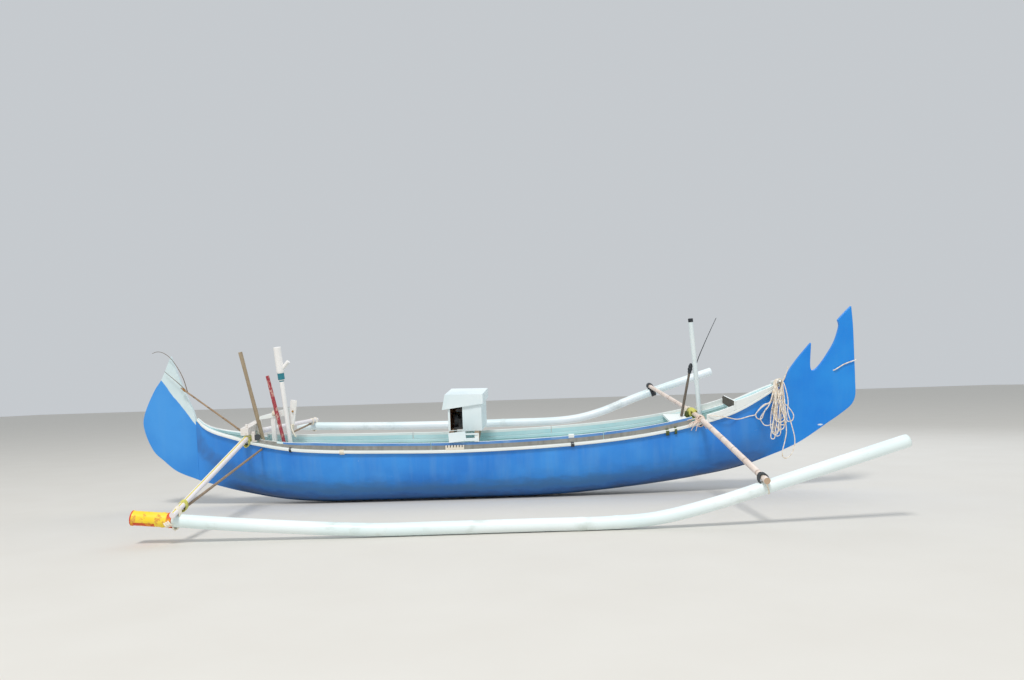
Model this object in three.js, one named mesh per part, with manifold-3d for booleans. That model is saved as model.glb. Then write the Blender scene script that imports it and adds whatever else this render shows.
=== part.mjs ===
// Double outrigger canoe of 7.9 m, drawn up on a beach with its starboard float and its keel down.
// Millimetres. X forward from amidships, Y to port, Z up from the keel. The boat is drawn upright
// and then heeled onto its starboard float, which is how it lies ashore.
import * as THREE from 'three';
import { mergeVertices } from 'three/addons/utils/BufferGeometryUtils.js';
import Module from 'manifold-3d';

const wasm = await Module();
wasm.setup();

// Driving dimensions
const GAP = 0.3; // clearance left where two pieces bear on each other
const HULL_STERN = -3330; // where the hull closes on the stern blade
const HULL_BOW = 3200; // where the hull closes on the bow blade
const BLADE_HALF = 22; // half thickness of both end blades
const KEEL_HALF = 30; // half width of the flat keel amidships
const FULL_BEAM = 316; // greatest half breadth
const FULL_SHARE = 0.72; // share of that breadth at which a section is as round as amidships
const WALL = 20; // thickness of the hull's sides
const FLOOR = 26; // thickness of the hull's bottom
const RAIL_HEIGHT = 38;
const RAIL_OUT = 30; // how far the rail stands out from the hull
const RAIL_IN = 24; // how far the rail reaches inboard
const WASHBOARD_HEIGHT = 76;
const WASHBOARD_THICK = 18;
const FLOAT_RADIUS = 55; // 110 mm pressure pipe
const FLOAT_OFFSET = 2260; // each float's distance from the middle line
const FLOAT_HEIGHT = 400; // starboard float's lowest run above the keel
const ARM_RADIUS = 32;
const BAMBOO_RADIUS = 29;
const POLE_SIDES = 10;

// Lines of the hull: distance forward, height or half breadth
const KEEL = [[-3330, 285], [-2910, 160], [-2400, 50], [-2000, 8], [-1750, 0], [350, 0], [600, 4],
  [930, 20], [1600, 80], [2160, 152], [2720, 257], [3200, 422]];
const SHEER = [[-3330, 965], [-3240, 872], [-3110, 811], [-2900, 757], [-2640, 692], [-2100, 614],
  [-1030, 580], [-250, 573], [830, 608], [1570, 671], [2110, 758], [2590, 880], [3040, 1084], [3200, 1166]];
const BREADTH = [[-3330, 22], [-3150, 66], [-2880, 136], [-2300, 222], [-1400, 290], [-300, 316],
  [800, 315], [1800, 284], [2620, 224], [3000, 128], [3200, 22]];
// Shape of a section: share of the height, share of the breadth amidships and at the sharp ends
const SECTION = [[0, 0, 0], [0.05, 0.42, 0.10], [0.15, 0.68, 0.28], [0.32, 0.87, 0.50],
  [0.55, 0.97, 0.75], [0.78, 1, 0.92], [1, 0.965, 1]];

// Smooth value at x of a table of places and values
function along(table, x) {
  let i = 0;
  while (i < table.length - 2 && x > table[i + 1][0]) i += 1;
  const slope = (k) => {
    const a = table[Math.max(k - 1, 0)];
    const b = table[Math.min(k + 1, table.length - 1)];
    return (b[1] - a[1]) / (b[0] - a[0]);
  };
  const [x0, y0] = table[i];
  const [x1, y1] = table[i + 1];
  const span = x1 - x0;
  const t = Math.min(Math.max((x - x0) / span, 0), 1);
  const s = t * t * (3 - 2 * t);
  return y0 + (y1 - y0) * s
    + span * (slope(i) * t * (1 - t) * (1 - t) - slope(i + 1) * t * t * (1 - t));
}

// The hull is built of flat panels between these stations, and all that follows it bends there too
const HULL_PANELS = 22;
const HULL_PLACES = stations(HULL_STERN, HULL_BOW, HULL_PANELS + 1);

function stations(from, to, count) {
  return Array.from({ length: count }, (_, i) => from + (to - from) * i / (count - 1));
}

const placesBetween = (from, to) => [from, ...HULL_PLACES.filter((x) => x > from + 1 && x < to - 1), to];

// Value at x of a smooth curve once it is straight between the stations
function panelled(curve, x) {
  const step = (HULL_BOW - HULL_STERN) / HULL_PANELS;
  const i = Math.min(Math.max(Math.floor((x - HULL_STERN) / step), 0), HULL_PANELS - 1);
  return THREE.MathUtils.mapLinear(x, HULL_PLACES[i], HULL_PLACES[i + 1],
    curve(HULL_PLACES[i]), curve(HULL_PLACES[i + 1]));
}

const keel = (x) => panelled((place) => Math.max(along(KEEL, place), 0), x);
const sheer = (x) => panelled((place) => along(SHEER, place), x);

// Half width of the hull's outside at station x and a share of the height from keel to sheer
function halfWidth(x, share) {
  let i = 0;
  while (i < SECTION.length - 2 && share > SECTION[i + 1][0]) i += 1;
  const [h0, mid0, end0] = SECTION[i];
  const [h1, mid1, end1] = SECTION[i + 1];
  const t = (share - h0) / (h1 - h0);
  return panelled((place) => {
    const breadth = Math.max(along(BREADTH, place), BLADE_HALF);
    const full = Math.min((breadth - BLADE_HALF) / (FULL_SHARE * FULL_BEAM), 1);
    const form = THREE.MathUtils.lerp(end0 + (end1 - end0) * t, mid0 + (mid1 - mid0) * t, full);
    return Math.max(breadth * form, THREE.MathUtils.lerp(BLADE_HALF, KEEL_HALF, full));
  }, x);
}

const sideAt = (x, z) => halfWidth(x, (z - keel(x)) / (sheer(x) - keel(x)));
const edge = (x) => halfWidth(x, 1);

// Height of the hull's outside under a point of its floor
function bottomAt(x, y) {
  let share = 0;
  while (halfWidth(x, share) < Math.abs(y)) share += 0.002;
  return keel(x) + share * (sheer(x) - keel(x));
}

const railTop = (x) => sheer(x) + GAP + RAIL_HEIGHT;

// The washboards lose height towards the stern
const WASH_TAPER = [-2600, -1950];
const WASH_END_SHARE = 0.5;
const washTop = (x) => railTop(x) + GAP + WASHBOARD_HEIGHT * THREE.MathUtils.mapLinear(
  THREE.MathUtils.clamp(x, ...WASH_TAPER), ...WASH_TAPER, WASH_END_SHARE, 1);

// Height of a round bar's middle where it lies across a sloping top line
function barOn(top, x, radius) {
  const slope = top(x + 1) - top(x);
  return top(x) + (radius + GAP) * Math.hypot(1, slope);
}

// Closed solid from points and triangles, turned outward if it is inside out
function solid(points, triangles) {
  let volume = 0;
  const across = new THREE.Vector3();
  for (const [a, b, c] of triangles) {
    volume += points[a].dot(across.crossVectors(points[b], points[c]));
  }
  const turned = volume < 0 ? triangles.map(([a, b, c]) => [a, c, b]) : triangles;
  const geometry = new THREE.BufferGeometry();
  geometry.setFromPoints(points);
  geometry.setIndex(turned.flat());
  return geometry;
}

// Solid through rings of points that all stand square to X
function loft(drawn) {
  const sense = THREE.ShapeUtils.area(drawn[0].map((p) => new THREE.Vector2(p.y, p.z)));
  const rings = sense < 0 ? drawn.map((ring) => [...ring].reverse()) : drawn;
  const count = rings[0].length;
  const triangles = [];
  for (let r = 0; r < rings.length - 1; r += 1) {
    for (let i = 0; i < count; i += 1) {
      const a = r * count + i;
      const b = r * count + (i + 1) % count;
      triangles.push([a, b, b + count], [a, b + count, a + count]);
    }
  }
  const flat = rings[0].map((p) => new THREE.Vector2(p.y, p.z));
  const last = (rings.length - 1) * count;
  for (const [a, b, c] of THREE.ShapeUtils.triangulateShape(flat, [])) {
    triangles.push([a, c, b], [last + a, last + b, last + c]);
  }
  return solid(rings.flat(), triangles);
}

// Plank that follows the boat: rings of four corners, side is 1 to port and -1 to starboard
function strip(places, side, inner, outer, low, high) {
  return loft(places.map((x) => [
    new THREE.Vector3(x, side * inner(x), low(x)),
    new THREE.Vector3(x, side * outer(x), low(x)),
    new THREE.Vector3(x, side * outer(x), high(x)),
    new THREE.Vector3(x, side * inner(x), high(x)),
  ]));
}

// Hull body, drawn inset by the thickness of side and floor, and raised above the sheer
function body(places, side, floor, raise) {
  return loft(places.map((x) => {
    const base = keel(x) + floor;
    const half = SECTION.map(([share], row) => {
      const lift = row === SECTION.length - 1 ? raise : 0;
      return [Math.max(halfWidth(x, share) - side, 4), base + share * (sheer(x) - base) + lift];
    });
    const port = half.map(([y, z]) => new THREE.Vector3(x, y, z));
    const starboard = half.reverse().map(([y, z]) => new THREE.Vector3(x, -y, z));
    return [...port, ...starboard];
  }));
}

function toManifold(geometry) {
  const bare = geometry.clone();
  bare.deleteAttribute('normal');
  bare.deleteAttribute('uv');
  const merged = mergeVertices(bare, 1e-3);
  return new wasm.Manifold(new wasm.Mesh({
    numProp: 3,
    vertProperties: new Float32Array(merged.attributes.position.array),
    triVerts: new Uint32Array(merged.index.array),
  }));
}

function fromManifold(shape) {
  const mesh = shape.getMesh();
  const geometry = new THREE.BufferGeometry();
  geometry.setAttribute('position', new THREE.BufferAttribute(new Float32Array(mesh.vertProperties), 3));
  geometry.setIndex(new THREE.BufferAttribute(new Uint32Array(mesh.triVerts), 1));
  return geometry;
}

const subtract = (a, b) => fromManifold(toManifold(a).subtract(toManifold(b)));
const intersect = (a, b) => fromManifold(toManifold(a).intersect(toManifold(b)));
const join = (a, b) => fromManifold(toManifold(a).add(toManifold(b)));

// Box between two corners
function block(x0, x1, y0, y1, z0, z1) {
  const geometry = new THREE.BoxGeometry(x1 - x0, y1 - y0, z1 - z0);
  return geometry.translate((x0 + x1) / 2, (y0 + y1) / 2, (z0 + z1) / 2);
}

// Round pole from one point to another, with a corner of its section uppermost
function pole(from, to, radiusFrom, radiusTo = radiusFrom, sides = POLE_SIDES) {
  const axis = to.clone().sub(from);
  const geometry = new THREE.CylinderGeometry(radiusTo, radiusFrom, axis.length(), sides);
  axis.normalize();
  const upward = Math.abs(axis.z) > 0.999 ? new THREE.Vector3(1, 0, 0) : new THREE.Vector3(0, 0, 1);
  const top = upward.addScaledVector(axis, -upward.dot(axis)).normalize();
  const middle = from.clone().add(to).multiplyScalar(0.5);
  const across = new THREE.Vector3().crossVectors(axis, top);
  return geometry.applyMatrix4(new THREE.Matrix4().makeBasis(across, axis, top).setPosition(middle));
}

// Round tube along a smooth curve
function tube(points, radius, sides, steps) {
  const section = new THREE.Shape();
  for (let i = 0; i < sides; i += 1) {
    const turn = 2 * Math.PI * i / sides;
    const place = [radius * Math.cos(turn), radius * Math.sin(turn)];
    if (i === 0) section.moveTo(...place);
    else section.lineTo(...place);
  }
  section.closePath();
  const path = new THREE.CatmullRomCurve3(points, false, 'centripetal');
  const settings = { steps, extrudePath: path, bevelEnabled: false };
  return new THREE.ExtrudeGeometry(section, settings);
}

// Flat board cut to an outline of X and Z, standing fore and aft at y
function plate(outline, y, thickness) {
  const shape = new THREE.Shape(outline.map(([x, z]) => new THREE.Vector2(x, z)));
  const geometry = new THREE.ExtrudeGeometry(shape, { depth: thickness, bevelEnabled: false });
  return geometry.rotateX(Math.PI / 2).translate(0, y + thickness / 2, 0);
}

// Point by numbers
const at = (x, y, z) => new THREE.Vector3(x, y, z);

// Paints and stuffs of the boat
const finishes = {
  bluePaint: { color: 0x2f7fd0, roughness: 0.4, metalness: 0 },
  whitePaint: { color: 0xdfe6e0, roughness: 0.5, metalness: 0 },
  paleGreenPaint: { color: 0xb5dad6, roughness: 0.5, metalness: 0 },
  greyBoard: { color: 0x8c9490, roughness: 0.8, metalness: 0 },
  bareWood: { color: 0x8a7a66, roughness: 0.85, metalness: 0 },
  bamboo: { color: 0xdcc6b4, roughness: 0.6, metalness: 0 },
  whitePipe: { color: 0xe4f4f2, roughness: 0.35, metalness: 0 },
  yellowPaint: { color: 0xf5d020, roughness: 0.5, metalness: 0 },
  redPaint: { color: 0xa03840, roughness: 0.7, metalness: 0 },
  darkMetal: { color: 0x30343a, roughness: 0.6, metalness: 0.6 },
  rope: { color: 0xe8dcc8, roughness: 0.9, metalness: 0 },
};

const boat = new THREE.Group();
const cords = new THREE.Group();

function add(name, finish, geometry, parent = boat) {
  const mesh = new THREE.Mesh(geometry, new THREE.MeshStandardMaterial(finishes[finish]));
  mesh.name = name;
  parent.add(mesh);
  return mesh;
}

// Hull: one skin from blade to blade, open above
const HOLD_STERN = -3160;
const HOLD_BOW = 3060;
const hold = (inset, raise) => body(placesBetween(HOLD_STERN, HOLD_BOW), WALL + inset, FLOOR + inset, raise);
const outside = body(HULL_PLACES, 0, 0, 0);
const shell = subtract(outside, hold(0, 200));
const fitSpace = hold(GAP, 200);
const skin = subtract(outside, fitSpace);
add('hull_shell', 'bluePaint', shell);

// Bow blade, two pronged, above and ahead of the stem
const BOW_BLADE = [[3200, 422], [3400, 516], [3725, 731], [3845, 812], [3970, 915], [4010, 1000],
  [4010, 1204], [4001, 1407], [3982, 1801], [3962, 2010], [3815, 1858], [3832, 1806], [3814, 1716],
  [3775, 1608], [3706, 1490], [3645, 1400], [3582, 1329], [3537, 1307], [3518, 1331], [3507, 1598],
  [3499, 1608], [3382, 1456], [3289, 1329], [3235, 1222], [3200, 1166]];
const clearOf = (outline, x) => outline.map(([px, pz]) => [px === x ? px + Math.sign(x) * GAP : px, pz]);
add('bow_fin', 'bluePaint', plate(clearOf(BOW_BLADE, HULL_BOW), 0, 2 * BLADE_HALF));

// Stern blade, one tall leaf
const STERN_BLADE = [[-3330, 965], [-3345, 1046], [-3386, 1159], [-3450, 1334], [-3562, 1690],
  [-3684, 1433], [-3749, 1344], [-3830, 1200], [-3890, 1065], [-3915, 971], [-3913, 899],
  [-3880, 762], [-3810, 613], [-3720, 523], [-3580, 398], [-3330, 285]];
add('stern_fin', 'bluePaint', plate(clearOf(STERN_BLADE, HULL_STERN), 0, 2 * BLADE_HALF));

// Cap rails and washboards along both sides
const RAIL_STERN = -3310;
const RAIL_BOW = 3150;
const WASH_STERN = -2600;
const WASH_BOW = 2150;
for (const [name, side] of [['port', 1], ['starboard', -1]]) {
  const railPlaces = placesBetween(RAIL_STERN, RAIL_BOW);
  add(`rail_${name}`, 'whitePaint', strip(railPlaces, side, (x) => Math.max(edge(x) - RAIL_IN, 8),
    (x) => edge(x) + RAIL_OUT, (x) => sheer(x) + GAP, railTop));
  const washPlaces = placesBetween(WASH_STERN, WASH_BOW);
  add(`washboard_${name}`, 'greyBoard', strip(washPlaces, side, (x) => edge(x) - RAIL_IN + 2,
    (x) => edge(x) - RAIL_IN + 2 + WASHBOARD_THICK, (x) => railTop(x) + GAP, washTop));
}

// Small foredeck between the bow rails
const DECK_AFT = 2632;
const DECK_FORE = 3030;
const foredeck = strip(placesBetween(DECK_AFT, DECK_FORE), 1, () => -FULL_BEAM, () => FULL_BEAM,
  (x) => sheer(x) - 26, (x) => sheer(x) - 12);
add('foredeck', 'whitePaint', intersect(foredeck, fitSpace));

// Coaming at the bow: two side planks on the rails and a board across
const COAMING_AFT = 2302;
const COAMING_FORE = 2604;
const COAMING_HEIGHT = 62;
for (const [name, side] of [['port', 1], ['starboard', -1]]) {
  add(`bow_coaming_${name}`, 'whitePaint', strip(placesBetween(COAMING_AFT, COAMING_FORE), side,
    (x) => edge(x) + 4, (x) => edge(x) + RAIL_OUT - 2, (x) => railTop(x) + GAP,
    (x) => railTop(x) + COAMING_HEIGHT));
}

// Bulwark on the starboard rail, which narrows towards the stem
const BULWARK_AFT = COAMING_FORE + 20;
const BULWARK_FORE = 3148;
const BULWARK_HEIGHTS = [106, 24];
const bulwarkHeight = (x) => THREE.MathUtils.mapLinear(x, BULWARK_AFT, BULWARK_FORE, ...BULWARK_HEIGHTS);
const bulwarkTop = (x) => railTop(x) + bulwarkHeight(x);
add('bow_bulwark_starboard', 'whitePaint', strip(placesBetween(BULWARK_AFT, BULWARK_FORE), -1,
  (x) => edge(x) + 4, (x) => edge(x) + RAIL_OUT - 2, (x) => railTop(x) + GAP, bulwarkTop));
const END_BOARD = 18;
const endHalf = edge(COAMING_FORE) + RAIL_OUT - 6;
const endBase = railTop(COAMING_FORE + END_BOARD) + GAP;
const endShape = new THREE.Shape([[-endHalf, 0], [endHalf, 0], [endHalf, 66], [endHalf - 40, 92],
  [-endHalf, 104]].map(([y, z]) => new THREE.Vector2(y, z)));
const endBoard = new THREE.ExtrudeGeometry(endShape, { depth: END_BOARD, bevelEnabled: false });
endBoard.rotateX(Math.PI / 2).rotateZ(Math.PI / 2);
endBoard.translate(COAMING_FORE + GAP, 0, endBase);
add('bow_coaming_end', 'whitePaint', endBoard);

// Thwarts cut to the hull's sides: name, aft edge, fore edge, top below the sheer, thickness
const THWARTS = [['thwart_stern', -2510, -2425, 40, 24], ['thwart_aft', -1010, -790, 130, 24],
  ['thwart_mid', 640, 860, 130, 24]];
for (const [name, aft, fore, drop, thick] of THWARTS) {
  const top = sheer((aft + fore) / 2) - drop;
  const plank = block(aft, fore, -FULL_BEAM, FULL_BEAM, top - thick, top);
  add(name, 'paleGreenPaint', intersect(plank, fitSpace));
}

// Mast thwart across the rails, between the washboards
const MAST_THWART = [1915, 2135];
const mastThwartBase = railTop(MAST_THWART[1]) + GAP;
const mastThwartHalf = edge(MAST_THWART[1]) - RAIL_IN + 2 - GAP - 2;
add('thwart_mast', 'whitePaint', block(...MAST_THWART, -mastThwartHalf, mastThwartHalf,
  mastThwartBase, mastThwartBase + 24));

// Bottom boards on the hull's floor: name, aft edge, fore edge
const BOTTOM_BOARDS = [['bottom_board_aft', -2150, -700], ['bottom_board_fore', 120, 1500]];
for (const [name, aft, fore] of BOTTOM_BOARDS) {
  const lift = (x) => keel(x) + FLOOR + 14;
  const boards = strip(placesBetween(aft, fore), 1, () => -190, () => 190, lift, (x) => lift(x) + 16);
  add(name, 'paleGreenPaint', intersect(boards, fitSpace));
}

// Floats: centre line of each as distance forward and height
const FLOAT_STARBOARD = [[-2700, 540], [-2000, 474], [-1000, 404], [-400, 400], [400, 400],
  [1000, 400], [1400, 428], [1910, 545], [2280, 657], [3480, 1021]];
const FLOAT_PORT = [[-2850, 428], [-1410, 388], [0, 383], [1000, 403], [1410, 492], [1980, 704],
  [2990, 1024]];
const FLOAT_SIDES = 12;
const FLOAT_STEPS = 30;
function floatPath(table, side) {
  const points = table.map(([x, z]) => at(x, side * FLOAT_OFFSET, z));
  return new THREE.CatmullRomCurve3(points, false, 'centripetal');
}
const starboardPath = floatPath(FLOAT_STARBOARD, -1);
const portPath = floatPath(FLOAT_PORT, 1);
add('float_starboard', 'whitePipe', tube(starboardPath.points, FLOAT_RADIUS, FLOAT_SIDES, FLOAT_STEPS));
add('float_port', 'whitePipe', tube(portPath.points, FLOAT_RADIUS, FLOAT_SIDES, FLOAT_STEPS));

// Painted sleeve on the stern end of the starboard float
const SLEEVE_LENGTH = 300;
const SLEEVE_RADIUS = 60;
const sleeveTilt = starboardPath.getTangentAt(0).negate();
const sleeveStart = starboardPath.getPointAt(0).addScaledVector(sleeveTilt, GAP);
const sleeveEnd = sleeveStart.clone().addScaledVector(sleeveTilt, SLEEVE_LENGTH);
add('float_sleeve_starboard', 'yellowPaint', pole(sleeveStart, sleeveEnd, SLEEVE_RADIUS,
  SLEEVE_RADIUS, FLOAT_SIDES));

// Point on a float's centre line at a distance forward, with the direction square to it, upward
function floatAt(path, x) {
  let low = 0;
  let high = 1;
  for (let i = 0; i < 30; i += 1) {
    const middle = (low + high) / 2;
    if (path.getPointAt(middle).x < x) low = middle;
    else high = middle;
  }
  const tangent = path.getTangentAt(low);
  return { point: path.getPointAt(low), up: at(-tangent.z, 0, tangent.x) };
}

// Seat of a pole of the given radius on top of a float
function seatOn(path, x, radius) {
  const { point, up } = floatAt(path, x);
  return point.clone().addScaledVector(up, FLOAT_RADIUS + radius + GAP);
}

// Fore crossbeam: one bamboo over both floats, carried on the rails
const FORE_AT_STARBOARD = 2300;
const FORE_AT_PORT = 2150;
const FORE_AT_HULL = 2232;
const FORE_OVERHANG = 95;
const FORE_OVERHANG_PORT = 40;
const foreStarboard = seatOn(starboardPath, FORE_AT_STARBOARD, BAMBOO_RADIUS);
const forePort = seatOn(portPath, FORE_AT_PORT, BAMBOO_RADIUS - 1.4);
const foreX = FORE_AT_HULL;
const foreRail = barOn(railTop, foreX + 5, BAMBOO_RADIUS) + 1.3;
const forePoints = [
  foreStarboard.clone().add(at(3, -FORE_OVERHANG, -4)),
  foreStarboard,
  at(foreX + 5, -edge(foreX), foreRail),
  at(foreX - 5, edge(foreX), foreRail),
  forePort,
  forePort.clone().add(at(-2, FORE_OVERHANG_PORT, 1)),
];
add('fore_crossbeam', 'bamboo', tube(forePoints, BAMBOO_RADIUS, POLE_SIDES, 20));

// Stern arms: one pole to each float, lying on the rail, with the crossbeam on both
const ARM_HULL_X = -2720;
const ARM_FLOAT_X = -2610;
const ARM_OVERHANG = 110;
const ARM_INNER = 110;
const armRail = barOn(railTop, ARM_HULL_X, ARM_RADIUS);
const armRise = {};
for (const [name, side, path] of [['starboard', -1, starboardPath], ['port', 1, portPath]]) {
  const seat = seatOn(path, ARM_FLOAT_X, ARM_RADIUS);
  const rest = at(ARM_HULL_X, side * (edge(ARM_HULL_X) + RAIL_OUT), armRail - 0.4);
  const run = seat.clone().sub(rest);
  armRise[name] = Math.abs(run.z / run.y);
  const shareAt = (y) => (Math.abs(y) - Math.abs(rest.y)) / Math.abs(run.y);
  const pointOn = (y) => rest.clone().addScaledVector(run, shareAt(y));
  const tip = pointOn(FLOAT_OFFSET + ARM_OVERHANG);
  add(`stern_arm_${name}`, 'whitePipe', pole(pointOn(ARM_INNER), tip, ARM_RADIUS, ARM_RADIUS * 0.8));
  const braceFoot = pointOn(FLOAT_OFFSET - 150).add(at(0, 0, -0.84 * ARM_RADIUS - 12.4));
  const braceZ = sheer(-2560) - 26;
  const braceHead = at(-2560, side * (sideAt(-2560, braceZ) + 2.4), braceZ);
  add(`stern_brace_${name}`, 'bareWood', pole(braceFoot, braceHead, 12, 12, 8));
}
const BEAM_DEPTH = 76;
const armClimb = Math.max(armRise.starboard, armRise.port) * (edge(ARM_HULL_X) + RAIL_OUT - ARM_INNER);
const beamBase = armRail + armClimb + ARM_RADIUS - 0.2;
const beamHalf = edge(ARM_HULL_X) + 80;
add('stern_crossbeam', 'greyBoard', block(ARM_HULL_X - 42, ARM_HULL_X + 42, -beamHalf, beamHalf, beamBase,
  beamBase + BEAM_DEPTH));

// Block with its sheave beside the stern crossbeam, and a peg on the beam
const pulleyX = ARM_HULL_X + 85;
const pulleyY = -edge(pulleyX);
const pulleyBase = railTop(pulleyX - 28) + GAP;
add('stern_pulley_block', 'whitePaint', block(pulleyX - 28, pulleyX + 28, pulleyY - 16, pulleyY + 22,
  pulleyBase, pulleyBase + 66));
const PEG_Y = -180;
const pegTop = beamBase + BEAM_DEPTH + GAP;
const pegFoot = at(ARM_HULL_X + 8, PEG_Y, pegTop);
add('stern_peg', 'whitePaint', pole(pegFoot, at(ARM_HULL_X + 8, PEG_Y, pegTop + 70), 15, 15, 8));

// Mast with its step on the floor, held against the fore crossbeam
const MAST_RADIUS = 22.5;
const MAST_TOP = at(2197, 0, 1928);
const mastAtBeam = at(foreX + BAMBOO_RADIUS + MAST_RADIUS + 4, 0, foreRail);
const mastLean = mastAtBeam.clone().sub(MAST_TOP).normalize();
const MAST_FOOT_Z = 262;
const stepBase = keel(2330);
const mastFoot = MAST_TOP.clone().addScaledVector(mastLean, (MAST_FOOT_Z - MAST_TOP.z) / mastLean.z);
add('mast', 'whitePipe', pole(mastFoot, MAST_TOP, MAST_RADIUS));
const mastStep = block(mastFoot.x - 70, mastFoot.x + 70, -60, 60, stepBase, MAST_FOOT_Z - 2);
add('mast_step', 'bareWood', intersect(mastStep, fitSpace));

// Thin dark pole with a wrapped head, standing on the mast thwart
const darkPoleFoot = at(2092, 40, mastThwartBase + 24 + 4.6);
add('fore_pole', 'bareWood', pole(darkPoleFoot, at(2200, 40, 1385), 20, 17, 8));

// Bar that carries the rope, from the port rail up over the bulwark
const BAR_X = 3118;
const BAR_RADIUS = 14;
const BAR_OVERHANG = 110;
const barPort = at(BAR_X, edge(BAR_X) + RAIL_OUT, barOn(railTop, BAR_X, BAR_RADIUS) - 0.5);
const barSeat = at(BAR_X, -(edge(BAR_X) + 4), barOn(bulwarkTop, BAR_X, BAR_RADIUS) + 0.4);
const barEnd = barSeat.clone().lerp(barPort, -(BAR_OVERHANG + RAIL_OUT - 4) / barPort.distanceTo(barSeat));
add('rope_bar', 'whitePaint', pole(barEnd, barPort, BAR_RADIUS));

// Engine on two bearers across the washboards, under a housing with a lift-off lid
const BEARERS = [['engine_bearer_aft', -470], ['engine_bearer_fore', -190]];
const BEARER_HALF = 24;
const bearerReach = edge(-300) + 6;
const bearerBase = Math.max(washTop(-520), washTop(-170)) + GAP;
const BEARER_TOP = 786;
for (const [name, x] of BEARERS) {
  const [aftFace, foreFace] = [x - BEARER_HALF, x + BEARER_HALF];
  add(name, 'bareWood', block(aftFace, foreFace, -bearerReach, bearerReach, bearerBase, BEARER_TOP));
}
const engine = add('engine_block', 'darkMetal', new THREE.BoxGeometry(270, 220, 250));
engine.position.set(-320, 20, BEARER_TOP + GAP + 125);

const HOUSING = { x: -301, y: 20, yaw: -0.1, length: 370, width: 400, height: 386, thick: 12 };
const housing = new THREE.Group();
housing.position.set(HOUSING.x, HOUSING.y, BEARER_TOP + GAP);
housing.rotation.z = HOUSING.yaw;
boat.add(housing);
const halfLength = HOUSING.length / 2;
const halfWide = HOUSING.width / 2;
const roomX = halfLength - HOUSING.thick;
const roomY = halfWide - HOUSING.thick;
const DOOR = [-halfLength + 22, -halfLength + 160];
const DOOR_SILL = 6;
const DOOR_HEAD = 316;
const box = subtract(block(-halfLength, halfLength, -halfWide, halfWide, 0, HOUSING.height),
  block(-roomX, roomX, -roomY, roomY, -10, HOUSING.height + 10));
add('engine_housing', 'whitePaint',
  subtract(box, block(DOOR[0], DOOR[1], -halfWide - 10, -roomY + 10, DOOR_SILL, DOOR_HEAD)), housing);

// Lid: a cap with a deep fascia, wider at its aft end, resting on the housing's upper edge
const LID_TOP = HOUSING.height + GAP + 12;
const LID_SIDE = 9;
const LID_OVER = halfWide + LID_SIDE + 12;
const lidOutline = [[-halfLength - 62, 238], [halfLength + 22, 302], [halfLength + 22, LID_TOP + 8],
  [-halfLength - 26, LID_TOP + 8]];
const lidRoom = [[-halfLength - LID_SIDE - 6, 150], [halfLength + LID_SIDE, 150],
  [halfLength + LID_SIDE, HOUSING.height + GAP], [-halfLength - LID_SIDE, HOUSING.height + GAP]];
const lid = subtract(plate(lidOutline, 0, 2 * LID_OVER), plate(lidRoom, 0, 2 * (LID_OVER - 12)));
add('engine_lid', 'whitePaint', lid, housing);

// Slotted batten on the starboard rail, and a board nailed above it to the aft bearer's end
const BATTEN = [-532, -330];
const battenInner = -(edge(BATTEN[1]) - RAIL_IN + 2 + WASHBOARD_THICK + 1);
const battenBase = railTop(BATTEN[0]) + GAP;
const battenTop = battenBase + 48;
add('slotted_batten', 'bamboo', block(...BATTEN, battenInner - 27, battenInner, battenBase, battenTop));
const flap = add('leaning_board', 'whitePaint', new THREE.BoxGeometry(186, 12, 104));
flap.position.set(-400, -(bearerReach + 8.2), 750);
flap.rotation.set(-0.06, -0.085, 0);

// Crutch on the stern thwart: post and slanted board
const crutchBase = sheer(-2467) - 40 + GAP;
const CRUTCH_TOP = 969.6;
add('crutch_post', 'whitePaint', block(-2491, -2445, -23, 23, crutchBase, CRUTCH_TOP));
const CRUTCH_BOARD = [[-2617, 955], [-2283, 995], [-2283, 1072], [-2617, 985]];
add('crutch_board', 'whitePaint', plate(CRUTCH_BOARD, 0, 60));

// Poles standing in the stern, their feet cut to the hull's floor:
// name, finish, foot x and y, top x, y and z, radius at foot and at top
const POLES = [
  ['pole_brown', 'bareWood', -2492, 46, -2815, 58, 1709, 19, 17],
  ['pole_red', 'redPaint', -2236, -20, -2483, -82, 1450, 18, 17],
  ['pole_white', 'whitePaint', -2224, -66, -2350, -112, 1766, 22, 40],
];
for (const [name, finish, footX, footY, topX, topY, topZ, footRadius, topRadius] of POLES) {
  const foot = at(footX, footY, bottomAt(footX, footY) + FLOOR / 2);
  add(name, finish, subtract(pole(foot, at(topX, topY, topZ), footRadius, topRadius), skin));
}

// Paddle standing blade up
const paddleFoot = at(-2396, 50, bottomAt(-2396, 50) + FLOOR / 2);
const paddleNeck = at(-2257, -40, 925);
const shaft = subtract(pole(paddleFoot, paddleNeck, 13, 13, 8), skin);
const blade = new THREE.BoxGeometry(68, 16, 260).rotateY(0.18).translate(-2238, -40, 1035);
add('paddle', 'whitePaint', join(shaft, blade));

// Fishing cane lashed by its butt under the stern crossbeam's aft edge, and out past the blade
const CANE_RADIUS = 8;
const caneEnd = at(-3420, -86, 1330);
const caneButt = at(-2690, -90, 754.4);
add('fishing_cane', 'bamboo', pole(caneButt, caneEnd, CANE_RADIUS + 2, CANE_RADIUS, 8));

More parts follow.
